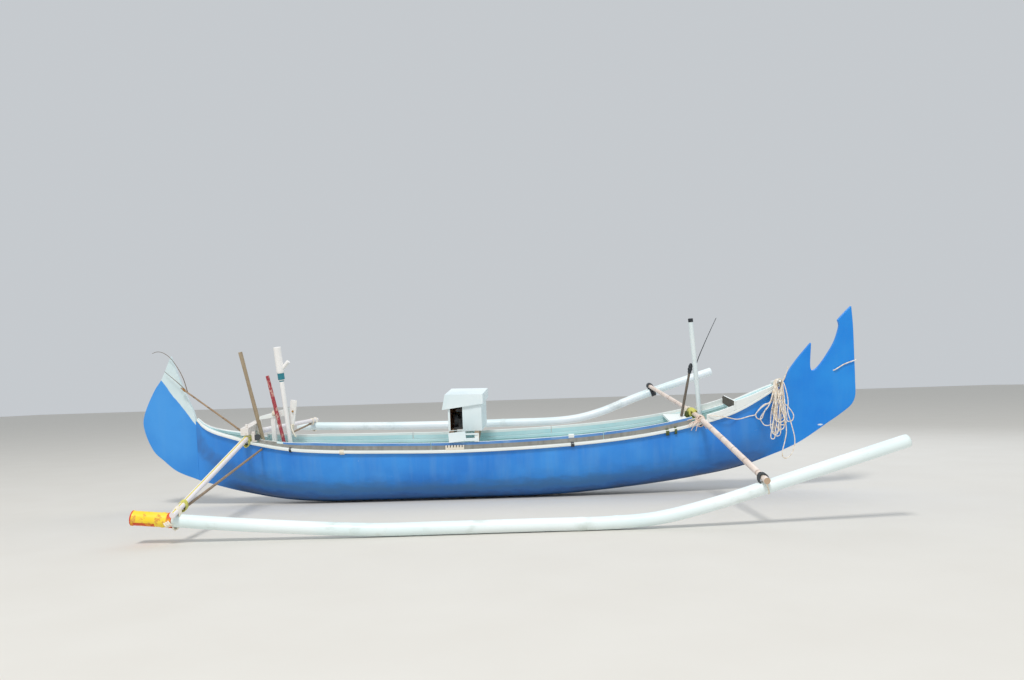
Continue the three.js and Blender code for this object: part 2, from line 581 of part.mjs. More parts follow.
// Bow rope: a hank hung on the bar, and a run back along the side to the fore crossbeam
const HANK_WIDTH = 180;
const HANK_LENGTH = 680;
const HANK_THICK = 60;
const hankShape = new THREE.Shape();
const hankRadius = HANK_WIDTH / 2;
hankShape.absarc(0, hankRadius - HANK_LENGTH, hankRadius, Math.PI, 2 * Math.PI);
hankShape.absarc(0, -hankRadius, hankRadius, 0, Math.PI);
const hankDepth = { depth: HANK_THICK, bevelEnabled: false, curveSegments: 8 };
const hank = new THREE.ExtrudeGeometry(hankShape, hankDepth);
hank.rotateX(Math.PI / 2).translate(0, HANK_THICK / 2, 0);

// Heel that sets the starboard float and the keel's edge on the same level
const reach = FLOAT_OFFSET - KEEL_HALF;
const heel = Math.acos(FLOAT_RADIUS / Math.hypot(reach, FLOAT_HEIGHT)) - Math.atan2(reach, FLOAT_HEIGHT);

const hankMesh = add('bow_rope_hank', 'rope', hank, cords);
hankMesh.position.set(BAR_X + 20, barEnd.y + 34, barEnd.z - BAR_RADIUS - 5.2);
hankMesh.rotation.x = -heel;
const runPoints = [
  at(3004, -226, 1004),
  at(2922, -208, 955),
  at(2865, -191, 891),
  at(2846, -186, 864),
  at(2797, -192, 856),
  at(2650, -218, 829),
  at(2548, -276, 856),
  at(2480, -293, 874),
  at(2411, -300, 886),
  at(2312, -286, 897),
];
add('bow_rope_run', 'rope', tube(runPoints, 4.5, 8, 30), cords);

// The whole boat heeled, with its lowest middle point at the origin
const heeled = new THREE.Group();
heeled.rotation.x = heel;
heeled.add(boat, cords);
const canoe = new THREE.Group();
canoe.add(heeled);
canoe.updateMatrixWorld(true);
const bounds = new THREE.Box3().setFromObject(boat, true);
heeled.position.set(-(bounds.min.x + bounds.max.x) / 2, -(bounds.min.y + bounds.max.y) / 2, -bounds.min.z);

export default canoe;
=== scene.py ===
# %% [markdown]
# # A double outrigger canoe
#
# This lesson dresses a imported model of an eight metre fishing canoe: a blue hull with a blade at
# each end, two pipe floats, one bamboo beam, and the gear that stands in the boat.
# The model comes in as a fixed frame. Every piece made here sits on that frame and replaces the
# plain solid that holds its place, so sizes and joints stay true while the shapes get smooth.

# %% Load the frame
import math

import bmesh
import bpy
from mathutils import Matrix, Vector


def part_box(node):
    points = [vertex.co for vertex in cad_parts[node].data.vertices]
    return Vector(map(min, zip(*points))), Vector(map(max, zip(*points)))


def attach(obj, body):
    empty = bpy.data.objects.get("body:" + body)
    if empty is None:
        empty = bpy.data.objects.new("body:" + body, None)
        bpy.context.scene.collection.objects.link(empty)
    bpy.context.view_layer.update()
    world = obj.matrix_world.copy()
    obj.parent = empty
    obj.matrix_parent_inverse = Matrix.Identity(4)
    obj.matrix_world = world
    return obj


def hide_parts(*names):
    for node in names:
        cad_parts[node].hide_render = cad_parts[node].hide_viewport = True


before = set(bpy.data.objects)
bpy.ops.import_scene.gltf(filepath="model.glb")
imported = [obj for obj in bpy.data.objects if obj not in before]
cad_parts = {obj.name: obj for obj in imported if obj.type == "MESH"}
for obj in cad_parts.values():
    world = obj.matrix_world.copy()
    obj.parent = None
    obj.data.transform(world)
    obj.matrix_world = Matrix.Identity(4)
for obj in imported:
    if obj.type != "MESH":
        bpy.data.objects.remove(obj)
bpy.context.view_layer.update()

# %% [markdown]
# The boat leans on its starboard float, so it lies 8.8 degrees off upright. Shapes are far easier
# to write for a boat that stands straight: X forward, Y to port, Z up from the keel, in metres.
# So each mesh is drawn upright and its object carries one shared matrix, the heel.
# Ropes that hang are the exception. They hang straight down in the real world, so they are drawn
# in the frame's own directions.

# %% Heel of the boat
HEEL = math.radians(8.7780660144)
BOAT = Matrix.Translation((-0.0475, 0.08823494, 0.00661822)) @ Matrix.Rotation(HEEL, 4, "X")


def lying(x, y, z):
    """A point of the upright boat, where it is once the boat has heeled."""
    return BOAT @ Vector((x, y, z))


print("masthead lies at", [round(c, 3) for c in lying(2.197, 0, 1.928)])

# %% [markdown]
# The camera comes first, because it tells how large each thing is in the picture. It stands 1.2 m
# above the ground and 8.8 m from the hull. The lens is a mild wide angle, and the camera is tipped
# up by under four degrees and rolled by under two.
# Three directions and a place say all of that without any angles: a camera looks along its own -Z.

# %% Camera
camera_data = bpy.data.cameras.new("camera")
camera_data.lens = 27.457
camera_data.sensor_width = 36.0
camera = bpy.data.objects.new("camera", camera_data)
bpy.context.scene.collection.objects.link(camera)
right = Vector((0.99948455, 0.00606475, -0.03152545))
upward = Vector((0.0318508, -0.06436015, 0.99741832))
ahead = Vector((-0.00402011, 0.99790831, 0.06452014))
camera.matrix_world = Matrix((right, upward, -ahead)).transposed().to_4x4()
camera.matrix_world.translation = Vector((0.20915095, -8.80329301, 1.18098439))
bpy.context.scene.camera = camera
print("camera stands", round((camera.matrix_world.translation - lying(0, 0, 0.5)).length, 2), "m off")

# %% [markdown]
# Every finish below is a small tree of nodes on one Principled shader. One helper adds a node,
# sets its properties and fills its inputs, where an input is either a value or another node's
# output. Colours are written as sRGB hex, as a paint chart gives them, and Blender works in linear
# light, so one function converts them.

# %% Colour and node helpers
def linear(hex_colour):
    """sRGB hex to linear RGBA."""
    channels = [int(hex_colour[i:i + 2], 16) / 255 for i in (1, 3, 5)]
    return tuple(c / 12.92 if c <= 0.04045 else ((c + 0.055) / 1.055) ** 2.4 for c in channels) + (1.0,)


def add_node(tree, kind, inputs, **settings):
    """A node with its settings, its inputs filled with values or linked to other outputs."""
    made = tree.nodes.new(kind)
    for name, value in settings.items():
        setattr(made, name, value)
    for name, value in inputs.items():
        if isinstance(value, bpy.types.NodeSocket):
            tree.links.new(value, made.inputs[name])
        else:
            made.inputs[name].default_value = value
    return made


def new_finish(name, roughness, ior=1.5, metallic=0.0):
    """An empty finish: its material, node tree, shader, and the mesh's own coordinates."""
    material = bpy.data.materials.new(name)
    material.use_nodes = True
    tree = material.node_tree
    shader = tree.nodes["Principled BSDF"]
    shader.inputs["Roughness"].default_value = roughness
    shader.inputs["Metallic"].default_value = metallic
    if metallic == 0:
        shader.inputs["IOR"].default_value = ior
    place = tree.nodes.new("ShaderNodeTexCoord").outputs["Object"]
    return material, tree, shader, place


def layered(tree, base, coats):
    """Colour of a base with coats over it, each where its mask says. A colour is hex or an output."""
    colour = linear(base) if isinstance(base, str) else base
    for mask, coat in coats:
        above = linear(coat) if isinstance(coat, str) else coat
        colour = add_node(tree, "ShaderNodeMix", {0: mask, 6: colour, 7: above},
                          data_type="RGBA").outputs[2]
    return colour


print("mid grey is", round(linear("#808080")[0], 3), "in linear light")

# %% [markdown]
# Nearly everything on this boat is paint over something else, and years of sun and salt have been
# at it. Three things show that to the eye: the coat fades in soft clouds, it wears through in
# patches to what lies under it, and grime gathers in streaks. One function builds such a coat, and
# each finish gives it its own colours, patch size and direction. Sizes are in millimetres: a noise
# of scale 1 has features about a metre wide, so a 60 mm patch needs a scale of 1000 / 60.

# %% Worn coat
def worn_coat(name, coat, faded, under, roughness=0.5, bare=0.66, patch=60.0, stretch=(1, 1, 1),
              grime=None, grime_from=0.58, soft=0.05, relief=0.3, ior=1.5):
    """Paint that has faded in clouds and worn through in patches. bare is the share of noise kept."""
    material, tree, shader, place = new_finish(name, roughness, ior)
    clouds = add_node(tree, "ShaderNodeTexNoise", {"Vector": place, "Scale": 2.3, "Detail": 4.0})
    fade = add_node(tree, "ShaderNodeMapRange",
                    {"Value": clouds.outputs["Fac"], "From Min": 0.35, "From Max": 0.65})
    coats = [(fade.outputs[0], faded)]
    if grime:
        runs = add_node(tree, "ShaderNodeMapping", {"Vector": place, "Scale": (14, 14, 1.1)})
        streaks = add_node(tree, "ShaderNodeTexNoise",
                           {"Vector": runs.outputs[0], "Scale": 1.4, "Detail": 5.0})
        much = add_node(tree, "ShaderNodeMapRange", {"Value": streaks.outputs["Fac"],
                        "From Min": grime_from - 0.1, "From Max": grime_from + 0.12, "To Max": 0.7})
        coats.append((much.outputs[0], grime))
    along_grain = add_node(tree, "ShaderNodeMapping", {"Vector": place, "Scale": stretch})
    patches = add_node(tree, "ShaderNodeTexNoise", {"Vector": along_grain.outputs[0],
                       "Scale": 1000 / patch, "Detail": 8.0, "Roughness": 0.62})
    worn = add_node(tree, "ShaderNodeMapRange", {"Value": patches.outputs["Fac"],
                    "From Min": bare - soft, "From Max": bare + soft})
    speckle = add_node(tree, "ShaderNodeTexNoise", {"Vector": along_grain.outputs[0],
                       "Scale": 5000 / patch, "Detail": 3.0})
    coats.append((worn.outputs[0], layered(tree, under, [(speckle.outputs["Fac"], faded)])))
    tree.links.new(layered(tree, coat, coats), shader.inputs["Base Color"])
    dull = add_node(tree, "ShaderNodeMapRange", {"Value": worn.outputs[0],
                    "To Min": roughness, "To Max": min(roughness + 0.3, 0.95)})
    tree.links.new(dull.outputs[0], shader.inputs["Roughness"])
    bump = add_node(tree, "ShaderNodeBump", {"Height": patches.outputs["Fac"], "Strength": relief,
                    "Distance": 0.004})
    tree.links.new(bump.outputs[0], shader.inputs["Normal"])
    return material


print("a 60 mm patch is noise of scale", round(1000 / 60, 1))

# %% [markdown]
# ## Rope
#
# The bow rope is a cream three strand rope of about 11 mm. It is hung as a long hank on a bar across
# the bow, with one length led back along the side.
# It is a fixed length of limp line, so its route is settled first, as points: over the bar, down,
# round the bottom of a loop and up again. A smooth curve goes through the points, and a tube that
# twists as it goes gives the three strands.

# %% Smooth route and tube
def smooth_route(points, step):
    """Points of a smooth curve through the given ones, about step apart."""
    pins = [Vector(p) for p in points]
    pins = [2 * pins[0] - pins[1]] + pins + [2 * pins[-1] - pins[-2]]
    route = []
    for before, start, end, after in zip(pins, pins[1:], pins[2:], pins[3:]):
        spans = [max(math.sqrt((b - a).length), 1e-4)
                 for a, b in ((before, start), (start, end), (end, after))]
        leave = ((start - before) / spans[0] - (end - before) / (spans[0] + spans[1])
                 + (end - start) / spans[1]) * spans[1]
        arrive = ((end - start) / spans[1] - (after - start) / (spans[1] + spans[2])
                  + (after - end) / spans[2]) * spans[1]
        count = max(1, math.ceil((end - start).length / step))
        for k in range(count):
            t = k / count
            route.append(start * (2 * t ** 3 - 3 * t ** 2 + 1) + leave * (t ** 3 - 2 * t ** 2 + t)
                         + end * (3 * t ** 2 - 2 * t ** 3) + arrive * (t ** 3 - t ** 2))
    route.append(pins[-2])
    return route


def route_length(route):
    return sum((b - a).length for a, b in zip(route, route[1:]))


def tube_mesh(route, radius, sides=16, strands=0, lay_length=0.03, domed=False):
    """Vertices and faces of a tube. radius is a number or a function of the share of the length."""
    size = radius if callable(radius) else (lambda share: radius)
    total = route_length(route)
    verts, faces = [], []
    tangents = [(route[min(i + 1, len(route) - 1)] - route[max(i - 1, 0)]).normalized()
                for i in range(len(route))]
    across = tangents[0].orthogonal().normalized()
    run = 0.0
    for i, centre in enumerate(route):
        if i:
            run += (centre - route[i - 1]).length
        across = (across - tangents[i] * across.dot(tangents[i])).normalized()
        other = tangents[i].cross(across)
        turned = 2 * math.pi * run / lay_length if strands else 0.0
        for k in range(sides):
            angle = 2 * math.pi * k / sides
            bulge = 1.0
            if strands:
                bulge = 0.84 + 0.18 * abs(math.cos((angle - turned) * strands / 2))
            r = size(run / total) * bulge
            verts.append(centre + across * r * math.cos(angle) + other * r * math.sin(angle))
    for i in range(len(route) - 1):
        for k in range(sides):
            a, b = i * sides + k, i * sides + (k + 1) % sides
            faces.append((a, b, b + sides, a + sides))
    for start, flip in ((0, True), ((len(route) - 1) * sides, False)):
        ring = list(range(start, start + sides))
        end = route[0] if flip else route[-1]
        if domed:
            out = -tangents[0] if flip else tangents[-1]
            r = size(0.0 if flip else 1.0)
            for lift, shrink in ((0.38, 0.92), (0.7, 0.71), (0.92, 0.38)):
                fresh = []
                for k in ring[:sides]:
                    fresh.append(len(verts))
                    verts.append(end + out * r * lift + (verts[start + (k - ring[0])] - end) * shrink)
                for k in range(sides):
                    a, b, c, d = ring[k], ring[(k + 1) % sides], fresh[(k + 1) % sides], fresh[k]
                    faces.append((b, a, d, c) if flip else (a, b, c, d))
                ring = fresh
        faces.append(tuple(reversed(ring)) if flip else tuple(ring))
    return verts, faces


arch = smooth_route([(0, 0, 0), (0.5, 0, 0.3), (1, 0, 0)], 0.05)
print("an arch of", len(arch), "points is", round(route_length(arch), 2), "m long")

# %% [markdown]
# A piece is a mesh with one or more finishes, shaded smooth except over sharp corners. It rides on
# a body of the frame and stands for the solids that it replaces. Pieces of the upright boat get
# the heel as their matrix.

# %% Making a piece
ROUND_FROM = 35


def piece(name, verts, faces, finishes, replaces=(), upright=True, body="boat", sharp=38,
          finish_of=None, bevel=0.0, parts=2):
    """A mesh object on a body. finish_of gives the number of the finish for each polygon."""
    mesh = bpy.data.meshes.new(name)
    mesh.from_pydata([tuple(v) for v in verts], [], faces)
    for material in finishes if isinstance(finishes, (list, tuple)) else [finishes]:
        mesh.materials.append(material)
    return settle(name, mesh, replaces, upright, body, sharp, bevel, parts, finish_of)


def settle(name, mesh, replaces=(), upright=True, body="boat", sharp=38, bevel=0.0, parts=2,
           finish_of=None, merge=False):
    """Puts a mesh in the scene. merge makes one face of flat neighbours before edges are rounded."""
    shape = bmesh.new()
    shape.from_mesh(mesh)
    if merge:
        bmesh.ops.dissolve_limit(shape, angle_limit=math.radians(1), verts=shape.verts, edges=shape.edges)
    bmesh.ops.recalc_face_normals(shape, faces=shape.faces)
    shape.to_mesh(mesh)
    shape.free()
    if finish_of:
        for polygon in mesh.polygons:
            polygon.material_index = finish_of(polygon)
    mesh.shade_smooth()
    mesh.set_sharp_from_angle(angle=math.radians(sharp))
    made = bpy.data.objects.new(name, mesh)
    bpy.context.scene.collection.objects.link(made)
    if upright:
        made.matrix_world = BOAT
    if bevel:
        rounding = made.modifiers.new("rounded_edges", "BEVEL")
        rounding.width = bevel
        rounding.segments = parts
        rounding.limit_method = "ANGLE"
        rounding.angle_limit = math.radians(ROUND_FROM)
        rounding.use_clamp_overlap = True
        rounding.harden_normals = True
    bpy.context.view_layer.update()
    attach(made, body)
    if replaces:
        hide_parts(*([replaces] if isinstance(replaces, str) else replaces))
    return made


print("edges sharper than", ROUND_FROM, "degrees can be rounded")

# %% [markdown]
# Polyamide rope is laid from fine matt fibres, so it scatters light and hardly shines. Dirt darkens
# it in patches about 25 mm long. Real fibres are far too fine to show, so the bump draws them 3 mm
# apart.

# %% Rope finish
def rope_finish():
    """Cream polyamide rope: matt fibres, darker where dirt and salt have got between the strands."""
    material, tree, shader, place = new_finish("polyamide_rope", 0.85)
    soil = add_node(tree, "ShaderNodeTexNoise", {"Vector": place, "Scale": 1000 / 25, "Detail": 5.0})
    stained = add_node(tree, "ShaderNodeMapRange", {"Value": soil.outputs["Fac"],
                       "From Min": 0.4, "From Max": 0.68})
    colour = layered(tree, "#FBF4E8", [(stained.outputs[0], "#DDC6A8")])
    tree.links.new(colour, shader.inputs["Base Color"])
    fibres = add_node(tree, "ShaderNodeTexNoise", {"Vector": place, "Scale": 1000 / 3, "Detail": 2.0})
    bump = add_node(tree, "ShaderNodeBump", {"Height": fibres.outputs["Fac"], "Strength": 0.3,
                    "Distance": 0.001})
    tree.links.new(bump.outputs[0], shader.inputs["Normal"])
    return material


rope = rope_finish()
print("rope finish:", len(rope.node_tree.nodes), "nodes")

# %% [markdown]
# The hank hangs on the bar in loops of different lengths, as a hand throws them, so the bundle is
# ragged at the bottom and one loop hangs well below the rest. Each loop goes over the bar beside
# the last one, and the rope ends in an overhand knot.

# %% Hank on the bow bar
ROPE, LAY_LENGTH = 0.0115, 0.042
BAR_RADIUS, ROPE_CLEAR = 0.014, 0.002
FIRST_LOOP, LOOP_PITCH = 0.008, 0.008


def solid_points(node):
    """Points of a CAD node's mesh."""
    return [vertex.co.copy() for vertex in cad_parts[node].data.vertices]


def middle_of(points):
    return sum(points, Vector()) / len(points)


bar_low, bar_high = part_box("rope_bar")
near_end = middle_of([c for c in solid_points("rope_bar") if c.y < bar_low[1] + 0.01])
far_end = middle_of([c for c in solid_points("rope_bar") if c.y > bar_high[1] - 0.01])
bar_axis = (far_end - near_end).normalized()
print("bar from", [round(c, 3) for c in near_end], "to", [round(c, 3) for c in far_end])

# drop of each loop, how far its foot swings forward, how wide it is; a negative width crosses its strands
LOOPS = [(0.47, -0.020, 0.055), (0.60, -0.075, 0.030), (0.55, -0.010, -0.042), (0.65, -0.095, 0.020),
         (0.50, 0.020, 0.048), (0.58, -0.055, -0.050), (0.62, -0.035, 0.036), (0.44, -0.005, 0.060),
         (0.57, -0.020, -0.034)]
# four loops that stray from the bundle, as steps from the bar's near end: forward and up
STRAYS = {1: [(0.045, -0.030), (0.082, -0.212), (0.070, -0.342), (0.094, -0.440), (0.132, -0.627),
              (0.118, -0.728), (0.076, -0.800), (0.031, -0.836), (-0.003, -0.827), (-0.015, -0.779),
              (0.019, -0.664), (0.046, -0.555), (0.038, -0.451), (0.001, -0.296), (-0.030, -0.110)],
          4: [(0.030, -0.112), (0.036, -0.224), (0.088, -0.288), (0.136, -0.366), (0.140, -0.399),
              (0.121, -0.435), (0.069, -0.439), (0.026, -0.300), (-0.010, -0.110)],
          7: [(-0.050, -0.090), (-0.104, -0.232), (-0.166, -0.252), (-0.231, -0.311), (-0.262, -0.366),
              (-0.250, -0.401), (-0.209, -0.409), (-0.163, -0.328), (-0.119, -0.274), (-0.060, -0.130)],
          10: [(0.020, -0.090), (-0.080, -0.230), (-0.165, -0.332), (-0.209, -0.405), (-0.191, -0.444),
               (-0.164, -0.479), (-0.116, -0.481), (-0.073, -0.462), (-0.060, -0.280), (-0.030, -0.110)]}


def hank_points():
    """Pins of the route, from the exit on the bar to the free end."""
    pins, bundle = [], list(LOOPS)
    count = len(LOOPS) + len(STRAYS)
    for k in range(count + 1):
        seat = near_end + bar_axis * (FIRST_LOOP + LOOP_PITCH * k)
        top = Vector((seat.x, seat.y, seat.z + BAR_RADIUS + ROPE / 2 + ROPE_CLEAR))
        if not pins:
            pins.append(top + Vector((-0.012, 0, -0.001)))
        pins.append(top)
        if k == count:
            break
        pins.append(top + Vector((0.026, 0.001, -0.020)))
        if k in STRAYS:
            strand = [Vector((seat.x + dx, seat.y + 0.006 * math.sin(1.9 * i), near_end.z + dz))
                      for i, (dx, dz) in enumerate(STRAYS[k])]
        else:
            drop, swing, half = bundle.pop(0)
            strand = [top + Vector(step) for step in (
                (0.034 + swing * 0.15, 0.002, -0.09), (half * 0.9 + swing * 0.5, 0.0, -drop * 0.5),
                (half + swing, -0.003, -drop + abs(half) * 1.1),
                (half * 0.72 + swing, -0.002, -drop + abs(half) * 0.32), (swing, 0.0, -drop),
                (-half * 0.72 + swing, 0.003, -drop + abs(half) * 0.32),
                (-half + swing, 0.005, -drop + abs(half) * 1.1),
                (-half * 0.8 + swing * 0.4, 0.006, -drop * 0.5), (-0.036 + swing * 0.1, 0.008, -0.10))]
        pins += strand + [top + Vector((-0.026, 0.010, -0.022))]
    return pins + [top + Vector(step) for step in ((0.027, 0.002, -0.022), (0.052, 0.003, -0.08),
                                                   (0.064, 0.002, -0.16), (0.066, 0.0, -0.24))]


hank_route = smooth_route(hank_points(), 0.010)
verts, faces = tube_mesh(hank_route, ROPE / 2, sides=9, strands=3, lay_length=LAY_LENGTH)
hank = piece("rope_hank", verts, faces, rope, "bow_rope_hank", upright=False, sharp=80)

# %% [markdown]
# An overhand knot is small beside the boat. It is drawn as three turns of the same rope wound
# tightly round the end, which is how a stopper knot looks from any side.

# %% Knots
def coil_route(centre, first, second, axis, rx, ry, turns, pitch, per_turn=16):
    """Points of a coil round an axis, in an ellipse of rx along first and ry along second."""
    count = int(turns * per_turn)
    return [centre + first * rx * math.cos(2 * math.pi * k / per_turn)
            + second * ry * math.sin(2 * math.pi * k / per_turn)
            + axis * pitch * (k / per_turn - turns / 2) for k in range(count + 1)]


def knot(name, centre, axis, thick):
    side = axis.orthogonal().normalized()
    route = coil_route(centre, side, axis.cross(side), axis, thick * 0.9, thick * 0.9, 3, thick * 0.95, 12)
    verts, faces = tube_mesh(route, thick * 0.5, sides=8, domed=True)
    return piece(name, verts, faces, rope, upright=False, sharp=80)


hank_knot = knot("rope_hank_knot", hank_route[-1], Vector((0, 0, 1)), ROPE)
print("knot hangs at", [round(c, 2) for c in hank_route[-1]])

# %% [markdown]
# One length leaves the hank and goes back along the side to the crossbeam's lashing. It lies against
# the hull, so its points are written for the upright boat and then heeled with it.

# %% Rope run along the side
RUN = [(3.004, -0.226, 1.004), (2.922, -0.208, 0.955), (2.865, -0.191, 0.891), (2.846, -0.186, 0.864),
       (2.797, -0.192, 0.856), (2.650, -0.218, 0.829), (2.548, -0.276, 0.856), (2.480, -0.293, 0.874),
       (2.411, -0.300, 0.886), (2.312, -0.286, 0.897)]
run_route = [lying(*p) for p in smooth_route(RUN, 0.008)]
verts, faces = tube_mesh(run_route, ROPE / 2, sides=9, strands=3, lay_length=LAY_LENGTH)
rope_run = piece("rope_run", verts, faces, rope, "bow_rope_run", upright=False, sharp=80)

# %% [markdown]
# ## Hull
#
# The real hull is a skin of glass fibre laid in a mould, so it has no planks and no flats: it is
# one smooth surface from a sharp stem, through a round belly, to a sharp stern. Such a shape is
# drawn as a boat builder draws it, with a few lines: the height of the keel, the height of the
# sheer, the half breadth, and the shape of a section. A smooth curve through each table gives a
# point of the skin for any place along the boat.

# %% Lines of the hull, in metres
KEEL = [(-3.330, 0.285), (-2.910, 0.160), (-2.400, 0.050), (-2.000, 0.008), (-1.750, 0.0),
        (0.350, 0.0), (0.600, 0.004), (0.930, 0.020), (1.600, 0.080), (2.160, 0.152),
        (2.720, 0.257), (3.200, 0.422)]
SHEER = [(-3.330, 0.965), (-3.240, 0.872), (-3.110, 0.811), (-2.900, 0.757), (-2.640, 0.692),
         (-2.100, 0.614), (-1.030, 0.580), (-0.250, 0.573), (0.830, 0.608), (1.570, 0.671),
         (2.110, 0.758), (2.590, 0.880), (3.040, 1.084), (3.200, 1.166)]
BREADTH = [(-3.330, 0.022), (-3.150, 0.050), (-2.880, 0.118), (-2.300, 0.222), (-1.400, 0.290),
           (-0.300, 0.316), (0.800, 0.315), (1.800, 0.284), (2.620, 0.224), (3.000, 0.128),
           (3.200, 0.022)]
SECTION_MID = [(0, 0), (0.05, 0.42), (0.15, 0.68), (0.32, 0.87), (0.55, 0.97), (0.78, 1), (1, 0.965)]
SECTION_END = [(0, 0), (0.05, 0.10), (0.15, 0.28), (0.32, 0.50), (0.55, 0.75), (0.78, 0.92), (1, 1)]
STEM, TAIL = 3.200, -3.330
WIDEST, BLADE_HALF, KEEL_HALF, WALL, FLOOR_THICK = 0.316, 0.022, 0.030, 0.020, 0.026
GAP, RAIL_HEIGHT, RAIL_IN, RAIL_OUT, WASH_HEIGHT = 0.0003, 0.038, 0.024, 0.030, 0.076
WASH_TAPER = [(-2.600, 0.5), (-1.950, 1.0)]
RAIL_ENDS, BULWARK_ENDS, BULWARK_HEIGHTS = (-3.318, 3.150), (2.624, 3.148), (0.106, 0.024)


def along(table, x):
    """Smooth value at x of a table of places and values."""
    i = 0
    while i < len(table) - 2 and x > table[i + 1][0]:
        i += 1

    def slope(k):
        a, b = table[max(k - 1, 0)], table[min(k + 1, len(table) - 1)]
        return (b[1] - a[1]) / (b[0] - a[0])

    (x0, y0), (x1, y1) = table[i], table[i + 1]
    span = x1 - x0
    t = min(max((x - x0) / span, 0), 1)
    return (y0 + (y1 - y0) * t * t * (3 - 2 * t)
            + span * (slope(i) * t * (1 - t) ** 2 - slope(i + 1) * t * t * (1 - t)))


def keel(x):
    return max(along(KEEL, x), 0.0)


def sheer(x):
    return along(SHEER, x)


def half_width(x, share):
    """Half width of the skin at x, at a share of the height from keel to sheer."""
    breadth = max(along(BREADTH, x), BLADE_HALF)
    full = min((breadth - BLADE_HALF) / (0.72 * WIDEST), 1)
    form = along(SECTION_END, share) * (1 - full) + along(SECTION_MID, share) * full
    return max(breadth * min(form, 1.0), BLADE_HALF * (1 - full) + KEEL_HALF * full)


def edge(x):
    return half_width(x, 1)


def rail_top(x):
    return sheer(x) + GAP + RAIL_HEIGHT


def lerp_between(x, ends, values):
    """Straight line between two places, level beyond them."""
    share = min(max((x - ends[0]) / (ends[1] - ends[0]), 0), 1)
    return values[0] + (values[1] - values[0]) * share


def wash_top(x):
    (aft, low), (fore, full) = WASH_TAPER
    return rail_top(x) + GAP + WASH_HEIGHT * lerp_between(x, (aft, fore), (low, full))


def steps(start, end, size):
    count = max(1, round((end - start) / size))
    return [start + (end - start) * k / count for k in range(count + 1)]


print("beam", round(2 * max(half_width(x / 10, 0.78) for x in range(-30, 30)), 3), "m")

# %% [markdown]
# The skin is two nets of points, outside and inside, joined along the top. At both ends the boat is
# solid, so the inner net stops short there and a small deck closes the top. Closing every opening
# keeps the mesh a true solid, which matters when it is cut, weighed or printed.

# %% Hull skin
SHARES = [0, 0.02, 0.05, 0.1, 0.15, 0.22, 0.32, 0.43, 0.55, 0.67, 0.78, 0.9, 1]
HOLD_AFT, HOLD_FORE = -3.160, 3.060


def hull_ring(x, wall, floor):
    """Points from the port edge down to the keel and up to the starboard edge."""
    base = keel(x) + floor
    half = [(max(half_width(x, s) - wall, 0.004), base + s * (sheer(x) - base)) for s in SHARES]
    return [Vector((x, y, z)) for y, z in reversed(half)] + [Vector((x, -y, z)) for y, z in half]


places = sorted(steps(TAIL, HOLD_AFT, 0.03) + steps(HOLD_AFT, HOLD_FORE, 0.07)[1:]
                + steps(HOLD_FORE, STEM, 0.03)[1:])
inner_places = [x for x in places if HOLD_AFT - 1e-6 <= x <= HOLD_FORE + 1e-6]
wide = 2 * len(SHARES)
verts = [v for x in places for v in hull_ring(x, 0.0, 0.0)]
outer_count = len(verts)
verts += [v for x in inner_places for v in hull_ring(x, WALL, FLOOR_THICK)]
faces = []
for i in range(len(places) - 1):
    for k in range(wide - 1):
        a = i * wide + k
        faces.append((a, a + 1, a + wide + 1, a + wide))
for i in range(len(inner_places) - 1):
    for k in range(wide - 1):
        a = outer_count + i * wide + k
        faces.append((a + 1, a, a + wide, a + wide + 1))
first, last = places.index(inner_places[0]), places.index(inner_places[-1])
for i in range(len(inner_places) - 1):
    a, b = (first + i) * wide, outer_count + i * wide
    faces.append((a, a + wide, b + wide, b))
    faces.append((a + wide - 1, b + wide - 1, b + 2 * wide - 1, a + 2 * wide - 1))
for i in range(len(places) - 1):
    if i + 1 <= first or i >= last:
        a = i * wide
        deck = [a, a + wide - 1, a + 2 * wide - 1, a + wide]
        if i + 1 == first:
            deck[3:] = [outer_count + wide - 1, outer_count, a + wide]
        if i == last:
            b = outer_count + (len(inner_places) - 1) * wide
            deck = [a, b, b + wide - 1, a + wide - 1, a + 2 * wide - 1, a + wide]
        faces.append(tuple(deck))
for start in (outer_count, outer_count + (len(inner_places) - 1) * wide):
    faces.append(tuple(range(start, start + wide)))
faces.append(tuple(range(wide)))
faces.append(tuple(range((len(places) - 1) * wide, len(places) * wide)))
print("hull net:", len(verts), "points,", len(faces), "faces")

# %% [markdown]
# ## Hull paint
#
# Blue enamel brushed on over glass fibre. Enamel is glossy when new and goes chalky in the sun, so
# the base is a clear mid blue that fades to a paler one in clouds. Grime runs down the sides in
# narrow streaks, since rain carries it. The belly is dragged ashore, so a band low on the side
# is scuffed to a grey blue. Below the middle of its height the side is also painted darker, down to
# a deep navy at the keel: that is painted shade, where the round belly turns away from the light.
# The belly follows the keel, which rises at both ends. So each point of the skin stores its share
# of the height from keel to sheer, and the paint reads that share instead of a height.

# %% Spots and smudges
def spot(tree, place, centre, size, ragged=0.5, noise=18.0):
    """A mask that is 1 inside an ellipsoid at centre, with a ragged edge."""
    offset = add_node(tree, "ShaderNodeVectorMath", {0: place, 1: centre}, operation="SUBTRACT")
    scaled = add_node(tree, "ShaderNodeVectorMath", {0: offset.outputs[0], 1: tuple(1 / s for s in size)},
                      operation="MULTIPLY")
    reach = add_node(tree, "ShaderNodeVectorMath", {0: scaled.outputs[0]}, operation="LENGTH")
    edge_noise = add_node(tree, "ShaderNodeTexNoise", {"Vector": place, "Scale": noise, "Detail": 5.0})
    bent = add_node(tree, "ShaderNodeMath", {0: edge_noise.outputs["Fac"], 1: ragged,
                    2: reach.outputs["Value"]}, operation="MULTIPLY_ADD")
    return add_node(tree, "ShaderNodeMapRange", {"Value": bent.outputs[0], "From Min": 1.0 + ragged / 2,
                    "From Max": 0.55 + ragged / 2}).outputs[0]


print("spots are ellipsoids in the mesh's own metres")
